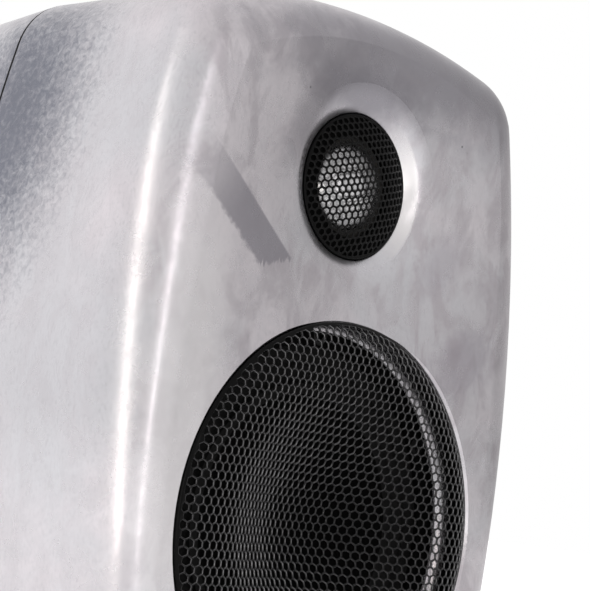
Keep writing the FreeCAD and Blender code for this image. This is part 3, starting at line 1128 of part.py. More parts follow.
# Power switch: a rocker on a pivot pin in a frame
FRAME_FACE = "(panel_depth + rocker_frame_thickness)"
FRAME_BACK = f"({PANEL_BACK} - rocker_frame_length)"
frame_flange = plate("frame_flange", [rectangle(
    ROW_RIGHT, "control_row_height", "(rocker_width + 2 * rocker_frame)", "(rocker_tall + 2 * rocker_frame)",
    "audio_corner_radius")], "panel_depth", FRAME_FACE)
frame_body = plate("frame_body", [rectangle(ROW_RIGHT, "control_row_height", *ROCKER_OUTER)],
                   FRAME_BACK, FRAME_FACE)
frame_mouth = plate("frame_mouth", [rectangle(
    ROW_RIGHT, "control_row_height", "(rocker_width + 2 * rocker_gap)", "(rocker_tall + 2 * rocker_gap)")],
    f"{FRAME_BACK} + rocker_floor", f"{FRAME_FACE} + cut_margin")
PIVOT_DEPTH = "panel_depth"
PIVOT_BORE = "rocker_pivot_radius + thread_gap"


def pivot_rod(label, radius, reach):
    """A cylinder along X on the rocker's pivot line."""
    pin = doc.addObject("Part::Cylinder", label)
    pin.setExpression("Radius", bind(radius))
    pin.setExpression("Height", bind(f"2 * ({reach})"))
    pin.Placement = FreeCAD.Placement(Vector(), FreeCAD.Rotation(Vector(0, 1, 0), 90))
    where = (f"{ROW_RIGHT} - ({reach})", at_depth(PIVOT_DEPTH), "control_row_height")
    for axis, formula in zip("xyz", where):
        pin.setExpression(f"Placement.Base.{axis}", bind(formula))
    return pin


PIN_REACH = "(rocker_width / 2 + rocker_frame / 2)"
piece("power_switch_frame", cut("power_switch_frame", fuse("frame_form", [frame_flange, frame_body]),
                                [frame_mouth, pivot_rod("frame_bore", PIVOT_BORE, PIN_REACH)]))
rocker_body = doc.addObject("PartDesign::Body", "rocker_body")
rocker_sketch = new_sketch(rocker_body, "YZ_Plane", "rocker_side", f"{ROW_RIGHT} - rocker_width / 2")
ROCKER_RIDGE = at_depth(f"{FRAME_FACE} + rocker_gap / 2")
ROCKER_TIP = at_depth(f"{FRAME_FACE} + rocker_gap / 2 + rocker_tall / 2 * tan(rocker_angle * 1 deg)")
ROCKER_BACK = at_depth(f"{PIVOT_DEPTH} - rocker_stem / 2")
ROCKER_STEM = at_depth(f"{PIVOT_DEPTH} - rocker_stem")
outline(rocker_sketch, [
    (ROCKER_BACK, "control_row_height - rocker_tall / 2"),
    (ROCKER_TIP, "control_row_height - rocker_tall / 2"),
    (ROCKER_RIDGE, "control_row_height"), (ROCKER_TIP, "control_row_height + rocker_tall / 2"),
    (ROCKER_BACK, "control_row_height + rocker_tall / 2"), (ROCKER_STEM, "control_row_height"),
])
rocker_pad = rocker_body.newObject("PartDesign::Pad", "rocker_pad")
rocker_pad.Profile = rocker_sketch
rocker_pad.setExpression("Length", bind("rocker_width"))
rocker_pin = pivot_rod("rocker_pin", "rocker_pivot_radius", f"{PIN_REACH} - slide_gap")
rocker = piece("power_rocker", fuse("power_rocker", [rocker_body, rocker_pin]))
REST_SINE, REST_COSINE = "sin(rocker_rest * 1 deg)", "cos(rocker_rest * 1 deg)"
rocker.Placement = FreeCAD.Placement(Vector(), FreeCAD.Rotation(Vector(1, 0, 0), number("rocker_rest")))
rocker.setExpression("Placement.Rotation.Angle", bind("rocker_rest * 1 deg"))
rocker.setExpression("Placement.Base.y", bind(
    f"({at_depth(PIVOT_DEPTH)}) * (1 - {REST_COSINE}) + control_row_height * {REST_SINE}"))
rocker.setExpression("Placement.Base.z", bind(
    f"control_row_height * (1 - {REST_COSINE}) - ({at_depth(PIVOT_DEPTH)}) * {REST_SINE}"))

# Level control: knob on a spindle
KNOB_START = "(panel_depth + knob_gap)"
KNOB_END = f"({KNOB_START} + knob_length)"
control_body = plate("control_body", [rectangle(
    ROW_LEFT, "control_row_height", "control_body_width", "control_body_height")], BOARD_BACK, PANEL_BACK)
control_bore = rod("control_bore", "spindle_radius + thread_gap", ROW_LEFT, "control_row_height",
                   f"{PANEL_BACK} - spindle_length", f"{PANEL_BACK} + cut_margin")
piece("level_control", cut("level_control", control_body, [control_bore]))
spindle = rod("spindle", "spindle_radius", ROW_LEFT, "control_row_height",
              f"{PANEL_BACK} - spindle_length + slide_gap", f"{KNOB_START} + spindle_length")
piece("level_spindle", spindle)
knob_form = rod("knob_form", "knob_radius", ROW_LEFT, "control_row_height", KNOB_START, KNOB_END)
knob_bore = rod("knob_bore", "spindle_radius + thread_gap", ROW_LEFT, "control_row_height",
                f"{KNOB_START} - cut_margin", f"{KNOB_START} + spindle_length")
knob_flutes = [
    rod(f"knob_flute_{index}", "knob_flute_radius", f"{ROW_LEFT} + {dx}", f"control_row_height + {dz}",
        f"{KNOB_START} - cut_margin", f"{KNOB_END} + cut_margin")
    for index, (dx, dz) in enumerate(around("knob_flute_count", "(knob_radius + knob_flute_radius / 2)"))
]
piece("level_knob", cut("level_knob", knob_form, [knob_bore] + knob_flutes))

# Tone switches: a block with a row of sliding levers
TONE_FACE = "(panel_depth + tone_proud)"
tone_places = [
    f"{index} * tone_pitch - (tone_count - 1) * tone_pitch / 2" for index in range(int(number("tone_count")))
]
tone_block = plate("tone_block", [rectangle("0", "control_row_height", "tone_width", "tone_tall")],
                   f"{PANEL_BACK} - tone_length", TONE_FACE)
tone_slots = [
    plate(f"tone_slot_{index}", [rectangle(x, "control_row_height", "tone_slot_width", "tone_slot_tall")],
          f"{TONE_FACE} - tone_slot_depth", f"{TONE_FACE} + cut_margin")
    for index, x in enumerate(tone_places)
]
tone_body = plate("tone_body", [rectangle("0", "control_row_height", "tone_width", "tone_tall")],
                  BOARD_BACK, f"{PANEL_BACK} - tone_length")
piece("tone_switch_block", cut("tone_switch_block", fuse("tone_form", [tone_block, tone_body]), tone_slots))
for index, x in enumerate(tone_places, start=1):
    piece(f"tone_lever_{index}", plate(f"tone_lever_{index}", [rectangle(
        x, "control_row_height - tone_travel / 2", "tone_lever_width", "tone_lever_tall")],
        f"{TONE_FACE} - tone_slot_depth", f"{TONE_FACE} + tone_lever_proud"))

# Circuit board and what stands on its front
BOARD_WIDTH, BOARD_TALL = "(panel_width - 2 * board_margin)", "(panel_tall - 2 * board_margin)"
piece("amplifier_board", plate("amplifier_board", [rectangle("0", PANEL_MIDDLE, BOARD_WIDTH, BOARD_TALL)],
                               "board_depth", BOARD_BACK))
TRANSFORMER_X, TRANSFORMER_Z = f"({BOARD_WIDTH} / 2 - transformer_width / 2)", "socket_row_height"
piece("transformer_core", plate("transformer_core", [
    rectangle(TRANSFORMER_X, TRANSFORMER_Z, "transformer_width", "transformer_tall"),
    rectangle(f"{TRANSFORMER_X} - transformer_width / 4 - transformer_lamination / 8", TRANSFORMER_Z,
              "transformer_lamination / 2", "(transformer_tall - transformer_lamination)"),
    rectangle(f"{TRANSFORMER_X} + transformer_width / 4 + transformer_lamination / 8", TRANSFORMER_Z,
              "transformer_lamination / 2", "(transformer_tall - transformer_lamination)"),
], "board_depth - transformer_length", "board_depth"))
CAPACITOR_X = f"(-{BOARD_WIDTH} / 2 + capacitor_radius + capacitor_spread)"
piece("filter_capacitors", group("filter_capacitors", [
    rod(f"capacitor_{index}", "capacitor_radius", f"{CAPACITOR_X} + {side} * capacitor_spread",
        TRANSFORMER_Z, "board_depth - capacitor_length", "board_depth")
    for index, side in enumerate((-1, 1))
]))
HEAT_HIGH = f"({PANEL_MIDDLE} + {BOARD_TALL} / 2)"
heat_plate = block("heat_plate", ("-heat_width / 2", "heat_width / 2"),
                   ("board_depth - heat_base", "board_depth"), (f"{HEAT_HIGH} - heat_tall", HEAT_HIGH))
heat_fins = [
    block(f"heat_fin_{index}",
          (f"-heat_width / 2 + {index} * (heat_width - heat_fin) / (heat_fin_count - 1)",
           f"-heat_width / 2 + {index} * (heat_width - heat_fin) / (heat_fin_count - 1) + heat_fin"),
          ("board_depth - heat_length", "board_depth"), (f"{HEAT_HIGH} - heat_tall", HEAT_HIGH))
    for index in range(int(number("heat_fin_count")))
]
piece("heat_spreader", fuse("heat_spreader", [heat_plate] + heat_fins))

doc.recompute()

faults = [item.Name for item in doc.Objects if "Invalid" in item.State or "Error" in item.State]
for label, item in pieces.items():
    if item.Shape.isNull() or not item.Shape.isValid() or not item.Shape.Solids:
        faults.append(label)
if faults:
    raise RuntimeError("not built: " + ", ".join(faults))
os.makedirs("parts", exist_ok=True)
for label, item in pieces.items():
    item.Shape.exportStep(os.path.join("parts", label + ".step"))
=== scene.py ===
import math

import bmesh
import bpy
import numpy as np
from mathutils import Matrix, Vector


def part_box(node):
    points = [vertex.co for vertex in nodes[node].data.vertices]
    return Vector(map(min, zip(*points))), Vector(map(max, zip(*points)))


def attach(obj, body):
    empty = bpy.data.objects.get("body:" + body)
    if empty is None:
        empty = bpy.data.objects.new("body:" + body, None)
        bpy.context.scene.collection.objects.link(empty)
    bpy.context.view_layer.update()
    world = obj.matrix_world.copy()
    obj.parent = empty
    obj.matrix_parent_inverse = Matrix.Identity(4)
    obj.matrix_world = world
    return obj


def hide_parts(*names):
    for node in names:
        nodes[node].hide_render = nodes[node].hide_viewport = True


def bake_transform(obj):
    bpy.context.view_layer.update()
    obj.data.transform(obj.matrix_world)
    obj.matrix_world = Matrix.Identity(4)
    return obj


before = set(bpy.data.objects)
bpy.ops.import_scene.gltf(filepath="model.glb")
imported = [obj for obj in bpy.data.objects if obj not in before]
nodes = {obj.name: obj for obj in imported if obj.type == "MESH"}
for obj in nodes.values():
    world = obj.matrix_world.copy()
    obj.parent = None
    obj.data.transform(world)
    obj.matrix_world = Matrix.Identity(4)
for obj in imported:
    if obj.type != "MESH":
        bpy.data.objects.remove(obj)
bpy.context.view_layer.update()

# Cabinet castings: two halves of raw die-cast aluminium, left unpainted, so that the flow marks, oxide
# blotches, pores and handling smears of the bare metal show. Painted highlights, painted shade and a painted
# dark reflection are mixed into its colour as well. Long screws from behind hold them together, with a thin
# black sealing ring in the seam.


def add(tree, kind, values=None, **settings):
    """A new node; settings are its properties, values its inputs, linked where the value is a socket."""
    node = tree.nodes.new(kind)
    for name, value in settings.items():
        setattr(node, name, value)
    for name, value in (values or {}).items():
        if isinstance(value, bpy.types.NodeSocket):
            tree.links.new(value, node.inputs[name])
        else:
            node.inputs[name].default_value = value
    return node


def calc(tree, operation, first, second):
    """One sum of two values."""
    return add(tree, "ShaderNodeMath", {0: first, 1: second}, operation=operation).outputs[0]


def vector_calc(tree, operation, first, second):
    """One sum of two vectors."""
    return add(tree, "ShaderNodeVectorMath", {0: first, 1: second}, operation=operation).outputs[0]


def length_of(tree, vector):
    """How long a vector is."""
    return add(tree, "ShaderNodeVectorMath", {0: vector}, operation="LENGTH").outputs["Value"]


def along(tree, place, direction):
    """How far a place lies along a direction: their dot product."""
    dot = add(tree, "ShaderNodeVectorMath", {0: place, 1: direction}, operation="DOT_PRODUCT")
    return dot.outputs["Value"]


def noise(tree, place, scale, detail=3.0, rough=0.5, bend=0.0):
    """A noise value from 0 to 1."""
    return add(tree, "ShaderNodeTexNoise", {
        "Vector": place, "Scale": scale, "Detail": detail, "Roughness": rough, "Distortion": bend,
    }).outputs[0]


def shake_of(tree, value, reach):
    """A noise value from 0 to 1 made to swing evenly about zero, by the reach from end to end."""
    return calc(tree, "MULTIPLY", calc(tree, "SUBTRACT", value, 0.5), reach)


def spread(tree, value, low, high, first=0.0, last=1.0):
    """The value's range from low to high, led by a smooth step from first to last."""
    return add(tree, "ShaderNodeMapRange", {
        "Value": value, "From Min": low, "From Max": high, "To Min": first, "To Max": last,
    }, interpolation_type="SMOOTHSTEP").outputs[0]


def tint(tree, factor, first, second):
    """Two colours mixed by a factor."""
    mixed = add(tree, "ShaderNodeMix", {0: factor, 6: first, 7: second}, data_type="RGBA")
    return mixed.outputs[2]


def new_group(name, inputs, outputs):
    """An empty shader node group with named sockets; returns the group and its two end nodes."""
    group = bpy.data.node_groups.new(name, "ShaderNodeTree")
    for label, kind in inputs:
        group.interface.new_socket(label, in_out="INPUT", socket_type="NodeSocket" + kind)
    for label, kind in outputs:
        group.interface.new_socket(label, in_out="OUTPUT", socket_type="NodeSocket" + kind)
    return group, group.nodes.new("NodeGroupInput"), group.nodes.new("NodeGroupOutput")


def new_material(name, fixed):
    """A material with its Principled shader's fixed sockets set; returns it, its tree, shader and place."""
    made = bpy.data.materials.new(name)
    made.use_nodes = True
    tree = made.node_tree
    shader = tree.nodes["Principled BSDF"]
    for socket, value in fixed.items():
        shader.inputs[socket].default_value = value
    return made, tree, shader, add(tree, "ShaderNodeTexCoord").outputs["Object"]


def dress(material, *names):
    """Gives CAD nodes a material."""
    for name in names:
        for place in nodes[name].material_slots:
            place.material = material


# A ragged patch, for a stain or for painted light or shade: the distance from a centre, in units of a turned
# ellipsoid, shaken by noise.
ragged_group, ragged_in, ragged_out = new_group("ragged_mark", [
    ("Place", "Vector"), ("Centre", "Vector"), ("Turn", "Float"), ("Size", "Vector"),
    ("Grain", "Float"), ("Raggedness", "Float"), ("Softness", "Float"),
], [("Mask", "Float")])
ragged_given = ragged_in.outputs
from_centre = vector_calc(ragged_group, "SUBTRACT", ragged_given["Place"], ragged_given["Centre"])
turned_place = add(ragged_group, "ShaderNodeVectorRotate", {
    "Vector": from_centre, "Axis": (0.0, 1.0, 0.0), "Angle": ragged_given["Turn"]}).outputs[0]
in_sizes = vector_calc(ragged_group, "DIVIDE", turned_place, ragged_given["Size"])
ragged_noise = noise(ragged_group, ragged_given["Place"], ragged_given["Grain"], detail=6.0, rough=0.62, bend=0.6)
shaken = calc(ragged_group, "ADD", length_of(ragged_group, in_sizes),
              shake_of(ragged_group, ragged_noise, ragged_given["Raggedness"]))
ragged_end = calc(ragged_group, "ADD", 1.0, ragged_given["Softness"])
ragged_start = calc(ragged_group, "SUBTRACT", 1.0, ragged_given["Softness"])
ragged_group.links.new(spread(ragged_group, shaken, ragged_end, ragged_start), ragged_out.inputs["Mask"])


def ragged_mask(tree, place, centre, turn, size, grain, ragged, soft):
    """The mask of one ragged patch, a stain or painted light or shade; its centre and half sizes are in
    metres, its turn is about the depth.
    """
    return add(tree, "ShaderNodeGroup", {
        "Place": place, "Centre": centre, "Turn": turn, "Size": size, "Grain": grain,
        "Raggedness": ragged, "Softness": soft}, node_tree=ragged_group).outputs["Mask"]


PINKISH_METAL = (0.84, 0.80, 0.83, 1.0)
BLUISH_METAL = (0.745, 0.745, 0.775, 1.0)
FLOW_MARK = (0.635, 0.60, 0.63, 1.0)
BLOTCH = (0.70, 0.685, 0.71, 1.0)
SPECK = (0.50, 0.49, 0.52, 1.0)
PORE = (0.06, 0.06, 0.07, 1.0)
cast, cast_tree, cast_shader, cast_at = new_material("raw_cast_aluminium", {"Metallic": 1.0})
cast_depth = along(cast_tree, cast_at, (0.0, 1.0, 0.0))
drawn_out = add(cast_tree, "ShaderNodeMapping", {
    "Vector": cast_at, "Rotation": (0.0, 0.35, 0.0), "Scale": (1.0, 1.0, 0.5)}).outputs[0]
cloud = noise(cast_tree, cast_at, 16.0, detail=4.0, rough=0.55, bend=0.4)
mottle = noise(cast_tree, cast_at, 110.0, detail=6.0, rough=0.62, bend=0.4)
speckle = noise(cast_tree, drawn_out, 1150.0, rough=0.65)
patches = noise(cast_tree, drawn_out, 60.0, detail=5.0, rough=0.60, bend=1.2)
pore_spot = add(cast_tree, "ShaderNodeTexVoronoi", {"Vector": cast_at, "Scale": 55.0}).outputs["Distance"]
toward_front = spread(cast_tree, cast_depth, -0.078, -0.086, 0.25, 0.95)
patch_mask = calc(cast_tree, "MULTIPLY", spread(cast_tree, patches, 0.42, 0.62), toward_front)
metal = tint(cast_tree, spread(cast_tree, cloud, 0.36, 0.64), PINKISH_METAL, BLUISH_METAL)
metal = tint(cast_tree, patch_mask, metal, FLOW_MARK)
metal = tint(cast_tree, spread(cast_tree, mottle, 0.40, 0.72, 0.0, 0.50), metal, BLOTCH)
metal = tint(cast_tree, spread(cast_tree, speckle, 0.46, 0.74, 0.0, 0.25), metal, SPECK)
metal = tint(cast_tree, spread(cast_tree, pore_spot, 0.024, 0.016), metal, PORE)

# Patches of the metal, each with its centre, turn, half sizes, noise scale, raggedness and softness, then its
# colour and strength: some are stains from handling and casting, the others painted highlights and painted
# shade.
STAINS_AND_PAINTED_LIGHT = [
    # bluish oxide on the left side
    (((-0.098, -0.006, 0.2520), 0.0, (0.030, 0.029, 0.056), 480.0, 1.5, 0.65),
     (0.14, 0.155, 0.20, 1.0), 0.85),
    # painted highlight beside the woofer: a lighter patch painted into the colour
    (((-0.071, -0.088, 0.153), 0.0, (0.013, 0.030, 0.062), 120.0, 0.8, 0.60),
     (1.0, 0.98, 0.99, 1.0), 0.80),
    # smudges between the drivers at the right
    (((0.054, -0.088, 0.181), 0.5, (0.016, 0.030, 0.010), 240.0, 1.4, 0.55),
     (0.47, 0.43, 0.48, 1.0), 0.50),
    (((0.040, -0.088, 0.2137), 0.9, (0.013, 0.030, 0.007), 240.0, 1.3, 0.55),
     (0.50, 0.465, 0.51, 1.0), 0.40),
    # painted shade: a dark band under the top edge
    (((0.030, -0.088, 0.284), 0.0, (0.085, 0.012, 0.026), 90.0, 1.0, 0.60),
     (0.36, 0.35, 0.38, 1.0), 0.85),
    # painted shade above the tweeter and at its upper left, on the waveguide
    (((-0.005, -0.086, 0.2635), 0.0, (0.024, 0.030, 0.008), 150.0, 0.9, 0.60),
     (0.33, 0.32, 0.35, 1.0), 0.85),
    (((-0.027, -0.086, 0.2525), 0.98, (0.021, 0.030, 0.007), 200.0, 0.9, 0.60),
     (0.36, 0.345, 0.375, 1.0), 0.60),
]
# Each patch, stain or painted light or shade, is mixed into the metal's colour.
for shape, colour, strength in STAINS_AND_PAINTED_LIGHT:
    mask = ragged_mask(cast_tree, cast_at, *shape)
    metal = tint(cast_tree, calc(cast_tree, "MULTIPLY", mask, strength), metal, colour)

# A painted dark reflection lies across the front left of the tweeter: straight above, a little ragged below,
# frayed at its foot.
DARK_REFLECTION_COLOUR = (0.40, 0.385, 0.42, 1.0)
DARK_REFLECTION_ACROSS = (0.615, 0.0, 0.788)
DARK_REFLECTION_DOWN = (0.788, 0.0, -0.615)
DARK_REFLECTION_FOOT = (-0.27, 0.0, 0.963)
FRAYED_REACH = 0.006
EDGE_REACH = 0.0025
frayed_at = add(cast_tree, "ShaderNodeMapping", {"Vector": cast_at, "Scale": (1.0, 1.0, 0.12)}).outputs[0]
frayed_foot = shake_of(cast_tree, noise(cast_tree, frayed_at, 1100.0), FRAYED_REACH)
ragged_edge = shake_of(cast_tree, noise(cast_tree, cast_at, 500.0), EDGE_REACH)
across_dark_reflection = along(cast_tree, cast_at, DARK_REFLECTION_ACROSS)
above_foot = calc(cast_tree, "ADD", along(cast_tree, cast_at, DARK_REFLECTION_FOOT), frayed_foot)
painted_dark_reflection = spread(cast_tree, calc(cast_tree, "ADD", across_dark_reflection, ragged_edge), 0.1285, 0.1305)
for side in (
        spread(cast_tree, across_dark_reflection, 0.1424, 0.1414),
        spread(cast_tree, above_foot, 0.2042, 0.2056),
        spread(cast_tree, cast_depth, -0.060, -0.075),
        spread(cast_tree, along(cast_tree, cast_at, DARK_REFLECTION_DOWN), -0.208, -0.176, 0.0, 0.90)):
    painted_dark_reflection = calc(cast_tree, "MULTIPLY", painted_dark_reflection, side)
# The painted dark reflection is mixed into the metal's colour.
metal = tint(cast_tree, painted_dark_reflection, metal, DARK_REFLECTION_COLOUR)

# A painted highlight lies on the waveguide round the tweeter at the right, up to a clear round edge: its
# colour is lightened there.
TWEETER_AXIS = (0.0, (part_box("tweeter_dome")[0][2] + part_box("tweeter_dome")[1][2]) / 2)
GUIDE_EDGE = 0.0288
GUIDE_INSIDE = 0.0278
PAINTED_HIGHLIGHT_TINT = (1.0, 0.985, 0.985, 1.0)
from_tweeter = vector_calc(cast_tree, "SUBTRACT", cast_at, (0.0, 0.0, TWEETER_AXIS[1]))
flat_from_tweeter = vector_calc(cast_tree, "MULTIPLY", from_tweeter, (1.0, 0.0, 1.0))
in_guide = spread(cast_tree, length_of(cast_tree, flat_from_tweeter), GUIDE_EDGE, GUIDE_INSIDE)
at_right = ragged_mask(cast_tree, cast_at, (0.030, -0.085, TWEETER_AXIS[1]), 0.0, (0.017, 0.030, 0.020),
                      90.0, 0.4, 0.55)
# The painted highlight lightens the metal's colour.
metal = tint(cast_tree, calc(cast_tree, "MULTIPLY", in_guide, at_right), metal, PAINTED_HIGHLIGHT_TINT)
cast_tree.links.new(metal, cast_shader.inputs["Base Color"])
cast_gloss = calc(cast_tree, "ADD", spread(cast_tree, mottle, 0.30, 0.75, 0.22, 0.30),
                  calc(cast_tree, "MULTIPLY", in_guide, 0.04))
cast_tree.links.new(cast_gloss, cast_shader.inputs["Roughness"])
cast_height = calc(cast_tree, "ADD", calc(cast_tree, "MULTIPLY", speckle, 0.05),
                   calc(cast_tree, "MULTIPLY", mottle, 0.25))
cast_bump = add(cast_tree, "ShaderNodeBump", {"Strength": 0.05, "Distance": 0.002, "Height": cast_height})
cast_tree.links.new(cast_bump.outputs[0], cast_shader.inputs["Normal"])
dress(cast, "front_shell", "rear_shell")

# Sealing ring, feet and gaskets: moulded black rubber. The ring lies in the seam, each foot is pressed
# into a round seat in the underside, and the gaskets lie under the woofer's basket and the rear panel.
grain_group, grain_in, grain_out = new_group("fine_grain", [
    ("Place", "Vector"), ("Scale", "Float"), ("Patch", "Float")], [("Grain", "Float"), ("Patches", "Float")])
grain_given = grain_in.outputs
fine_noise = noise(grain_group, grain_given["Place"], grain_given["Scale"], detail=4.0, rough=0.6)
patch_noise = noise(grain_group, grain_given["Place"], grain_given["Patch"], detail=4.0, rough=0.55, bend=0.4)
grain_group.links.new(fine_noise, grain_out.inputs["Grain"])
grain_group.links.new(patch_noise, grain_out.inputs["Patches"])


def grained_finish(name, dark, light, rough, scale, patch, fixed=None, bump=0.15):
    """A finish whose colour and gloss vary in patches, with a fine grain in its surface.

    The shade is four parts of the grain and six of the patches, led by a smooth step from dark to light.
    """
    made, tree, shader, at = new_material(name, fixed or {})
    varied = add(tree, "ShaderNodeGroup", {
        "Place": at, "Scale": scale, "Patch": patch}, node_tree=grain_group).outputs
    shade = calc(tree, "ADD", calc(tree, "MULTIPLY", varied["Grain"], 0.4),
                 calc(tree, "MULTIPLY", varied["Patches"], 0.6))
    colour = tint(tree, spread(tree, shade, 0.35, 0.65), (*dark, 1.0), (*light, 1.0))
    tree.links.new(colour, shader.inputs["Base Color"])
    tree.links.new(spread(tree, varied["Patches"], 0.3, 0.7, *rough), shader.inputs["Roughness"])
    raised = add(tree, "ShaderNodeBump", {"Strength": bump, "Distance": 0.0004, "Height": varied["Grain"]})
    tree.links.new(raised.outputs[0], shader.inputs["Normal"])
    return made


black_rubber = grained_finish(
    "black_rubber", dark=(0.004, 0.004, 0.004), light=(0.010, 0.010, 0.010), rough=(0.55, 0.75),
    scale=1500.0, patch=60.0, fixed={"Specular IOR Level": 0.12})
dress(black_rubber, "shell_gasket", "rubber_feet", "woofer_gasket", "panel_gasket")

# Screws: black oxidised steel with a driving socket in each head. Four long ones close the cabinet from
# behind, and shorter ones hold the woofer, the tweeter and the rear panel.
black_steel = grained_finish(
    "black_oxide_steel", dark=(0.02, 0.02, 0.02), light=(0.06, 0.06, 0.06), rough=(0.28, 0.45),
    scale=2200.0, patch=180.0, fixed={"Metallic": 0.9})
dress(black_steel, "shell_screws", "woofer_screws", "tweeter_screws", "panel_screws")

# Power lamp and damping foam: a light pipe of clear plastic is pushed through the front casting under the
# woofer, and a sheet of grey foam is glued in behind to damp the box.
lamp_plastic = grained_finish(
    "lamp_plastic", dark=(0.55, 0.62, 0.57), light=(0.75, 0.82, 0.77), rough=(0.10, 0.22),
    scale=900.0, patch=300.0, fixed={"Transmission Weight": 0.4})
dress(lamp_plastic, "power_lamp")
grey_foam = grained_finish(
    "grey_foam", dark=(0.10, 0.10, 0.105), light=(0.30, 0.30, 0.31), rough=(0.85, 0.95),
    scale=700.0, patch=90.0, bump=0.8)
dress(grey_foam, "damping_foam")

# Woofer: a die-cast basket screwed into the recess, with a filled-plastic cone and dust cap on a rubber
# surround. Its magnet system is zinc plated steel round a ferrite ring, with a copper coil in the gap.
coated_basket = grained_finish(
    "coated_basket", dark=(0.0012, 0.0012, 0.0012), light=(0.004, 0.004, 0.004), rough=(0.55, 0.70),
    scale=1200.0, patch=80.0, fixed={"Specular IOR Level": 0.05})
dress(coated_basket, "woofer_basket")
cone_plastic = grained_finish(
    "cone_plastic", dark=(0.0012, 0.0012, 0.0012), light=(0.003, 0.003, 0.003), rough=(0.60, 0.75),
    scale=1100.0, patch=120.0, fixed={"Specular IOR Level": 0.04})
dress(cone_plastic, "woofer_cone", "woofer_dust_cap")
copper_wire = grained_finish(
    "copper_wire", dark=(0.55, 0.26, 0.12), light=(0.75, 0.40, 0.22), rough=(0.25, 0.40),
    scale=1800.0, patch=300.0, fixed={"Metallic": 1.0})
dress(copper_wire, "woofer_voice_coil")
zinc_steel = grained_finish(
    "zinc_steel", dark=(0.50, 0.50, 0.49), light=(0.68, 0.68, 0.66), rough=(0.25, 0.42),
    scale=1600.0, patch=140.0, fixed={"Metallic": 1.0})
dress(zinc_steel, "woofer_top_plate", "woofer_yoke")
ferrite = grained_finish(
    "ferrite", dark=(0.035, 0.035, 0.036), light=(0.09, 0.09, 0.09), rough=(0.50, 0.70),
    scale=1400.0, patch=90.0)
dress(ferrite, "woofer_magnet")

# Surround and spider: a half-roll of soft rubber and a waved disc of resin-dipped cloth. Both are glued
# to the basket outside and to the cone or coil inside. Sizes here and below are in millimetres: radii from a
# driver's axis, heights in front of the front plane.
MM = 0.001
FRONT_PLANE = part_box("front_shell")[0][1]
WOOFER_AXIS = (0.0, (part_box("woofer_cone")[0][2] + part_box("woofer_cone")[1][2]) / 2)


def solid_from(name, points, faces, material, worn=None):
    """An object from points in metres and faces, doubled points merged; worn is how bare each point is."""
    mesh = bpy.data.meshes.new(name)
    mesh.from_pydata(points, [], faces)
    if worn is not None:
        mesh.attributes.new("worn", "FLOAT", "POINT").data.foreach_set("value", worn.astype(np.float32))
    form = bmesh.new()
    form.from_mesh(mesh)
    bmesh.ops.remove_doubles(form, verts=form.verts, dist=2e-6)
    bmesh.ops.dissolve_degenerate(form, edges=form.edges, dist=1e-7)
    bmesh.ops.recalc_face_normals(form, faces=form.faces)
    form.to_mesh(mesh)
    form.free()
    mesh.materials.append(material)
    piece = bpy.data.objects.new(name, mesh)
    bpy.context.scene.collection.objects.link(piece)
    return piece


def smooth_up_to(piece, degrees):
    """Smooth shading, with edges sharper than an angle kept sharp."""
    piece.data.shade_smooth()
    piece.data.set_sharp_from_angle(angle=math.radians(degrees))


def in_front(across, up, height, axis):
    """Points in metres from places across and up from a driver's axis and heights before the front plane."""
    return np.stack(np.broadcast_arrays(
        axis[0] + across * MM, FRONT_PLANE - height * MM, axis[1] + up * MM), -1)


def turned(name, radii, heights, axis, material, steps=144):
    """A closed section of radius and height, carried round a driver's axis: radius times sine and cosine."""
    angles = np.linspace(0.0, 2.0 * np.pi, steps, endpoint=False)
    r = np.asarray(radii)[:, None]
    points = in_front(r * np.sin(angles), r * np.cos(angles), np.asarray(heights)[:, None], axis)
    ring, step = np.meshgrid(np.arange(len(radii)), np.arange(steps), indexing="ij")
    after = (ring + 1) % len(radii) * steps
    beside = (step + 1) % steps
    here = ring * steps
    faces = np.stack([here + step, here + beside, after + beside, after + step], -1)
    piece = solid_from(name, points.reshape(-1, 3), faces.reshape(-1, 4), material)
    smooth_up_to(piece, 40)
    return piece


def turned_sheet(name, radii, heights, sheet, axis, material):
    """A sheet as thick all over along the axis, its underside a line of radius and height, carried round."""
    return turned(name, np.concatenate([radii, radii[::-1]]),
                  np.concatenate([heights + sheet, heights[::-1]]), axis, material)


def flexing(piece):
    """Bakes the piece's placement into its mesh and reads its points."""
    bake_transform(piece)
    places = np.empty(len(piece.data.vertices) * 3, dtype=np.float32)
    piece.data.vertices.foreach_get("co", places)
    places = places.reshape(-1, 3)


SURROUND_IN = 43.0
SURROUND_OUT = 59.0
SURROUND_FOOT = -17.5
SURROUND_SKIN = 0.8
ROLL_IN = 46.5
ROLL_OUT = 53.5
ROLL_BOW = 3.6
half_roll = (ROLL_OUT - ROLL_IN) / 2
across_roll = np.linspace(-half_roll, half_roll, 25)
roll_line = math.sqrt(ROLL_BOW ** 2 - half_roll ** 2) - np.sqrt(ROLL_BOW ** 2 - across_roll ** 2)
surround_r = np.concatenate([[SURROUND_IN], ROLL_IN + half_roll + across_roll, [SURROUND_OUT]])
surround_h = np.concatenate([[0.0], roll_line, [0.0]]) + SURROUND_FOOT
surround = turned_sheet("woofer_surround_roll", surround_r, surround_h, SURROUND_SKIN, WOOFER_AXIS,
                        black_rubber)
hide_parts("woofer_surround")
flexing(surround)

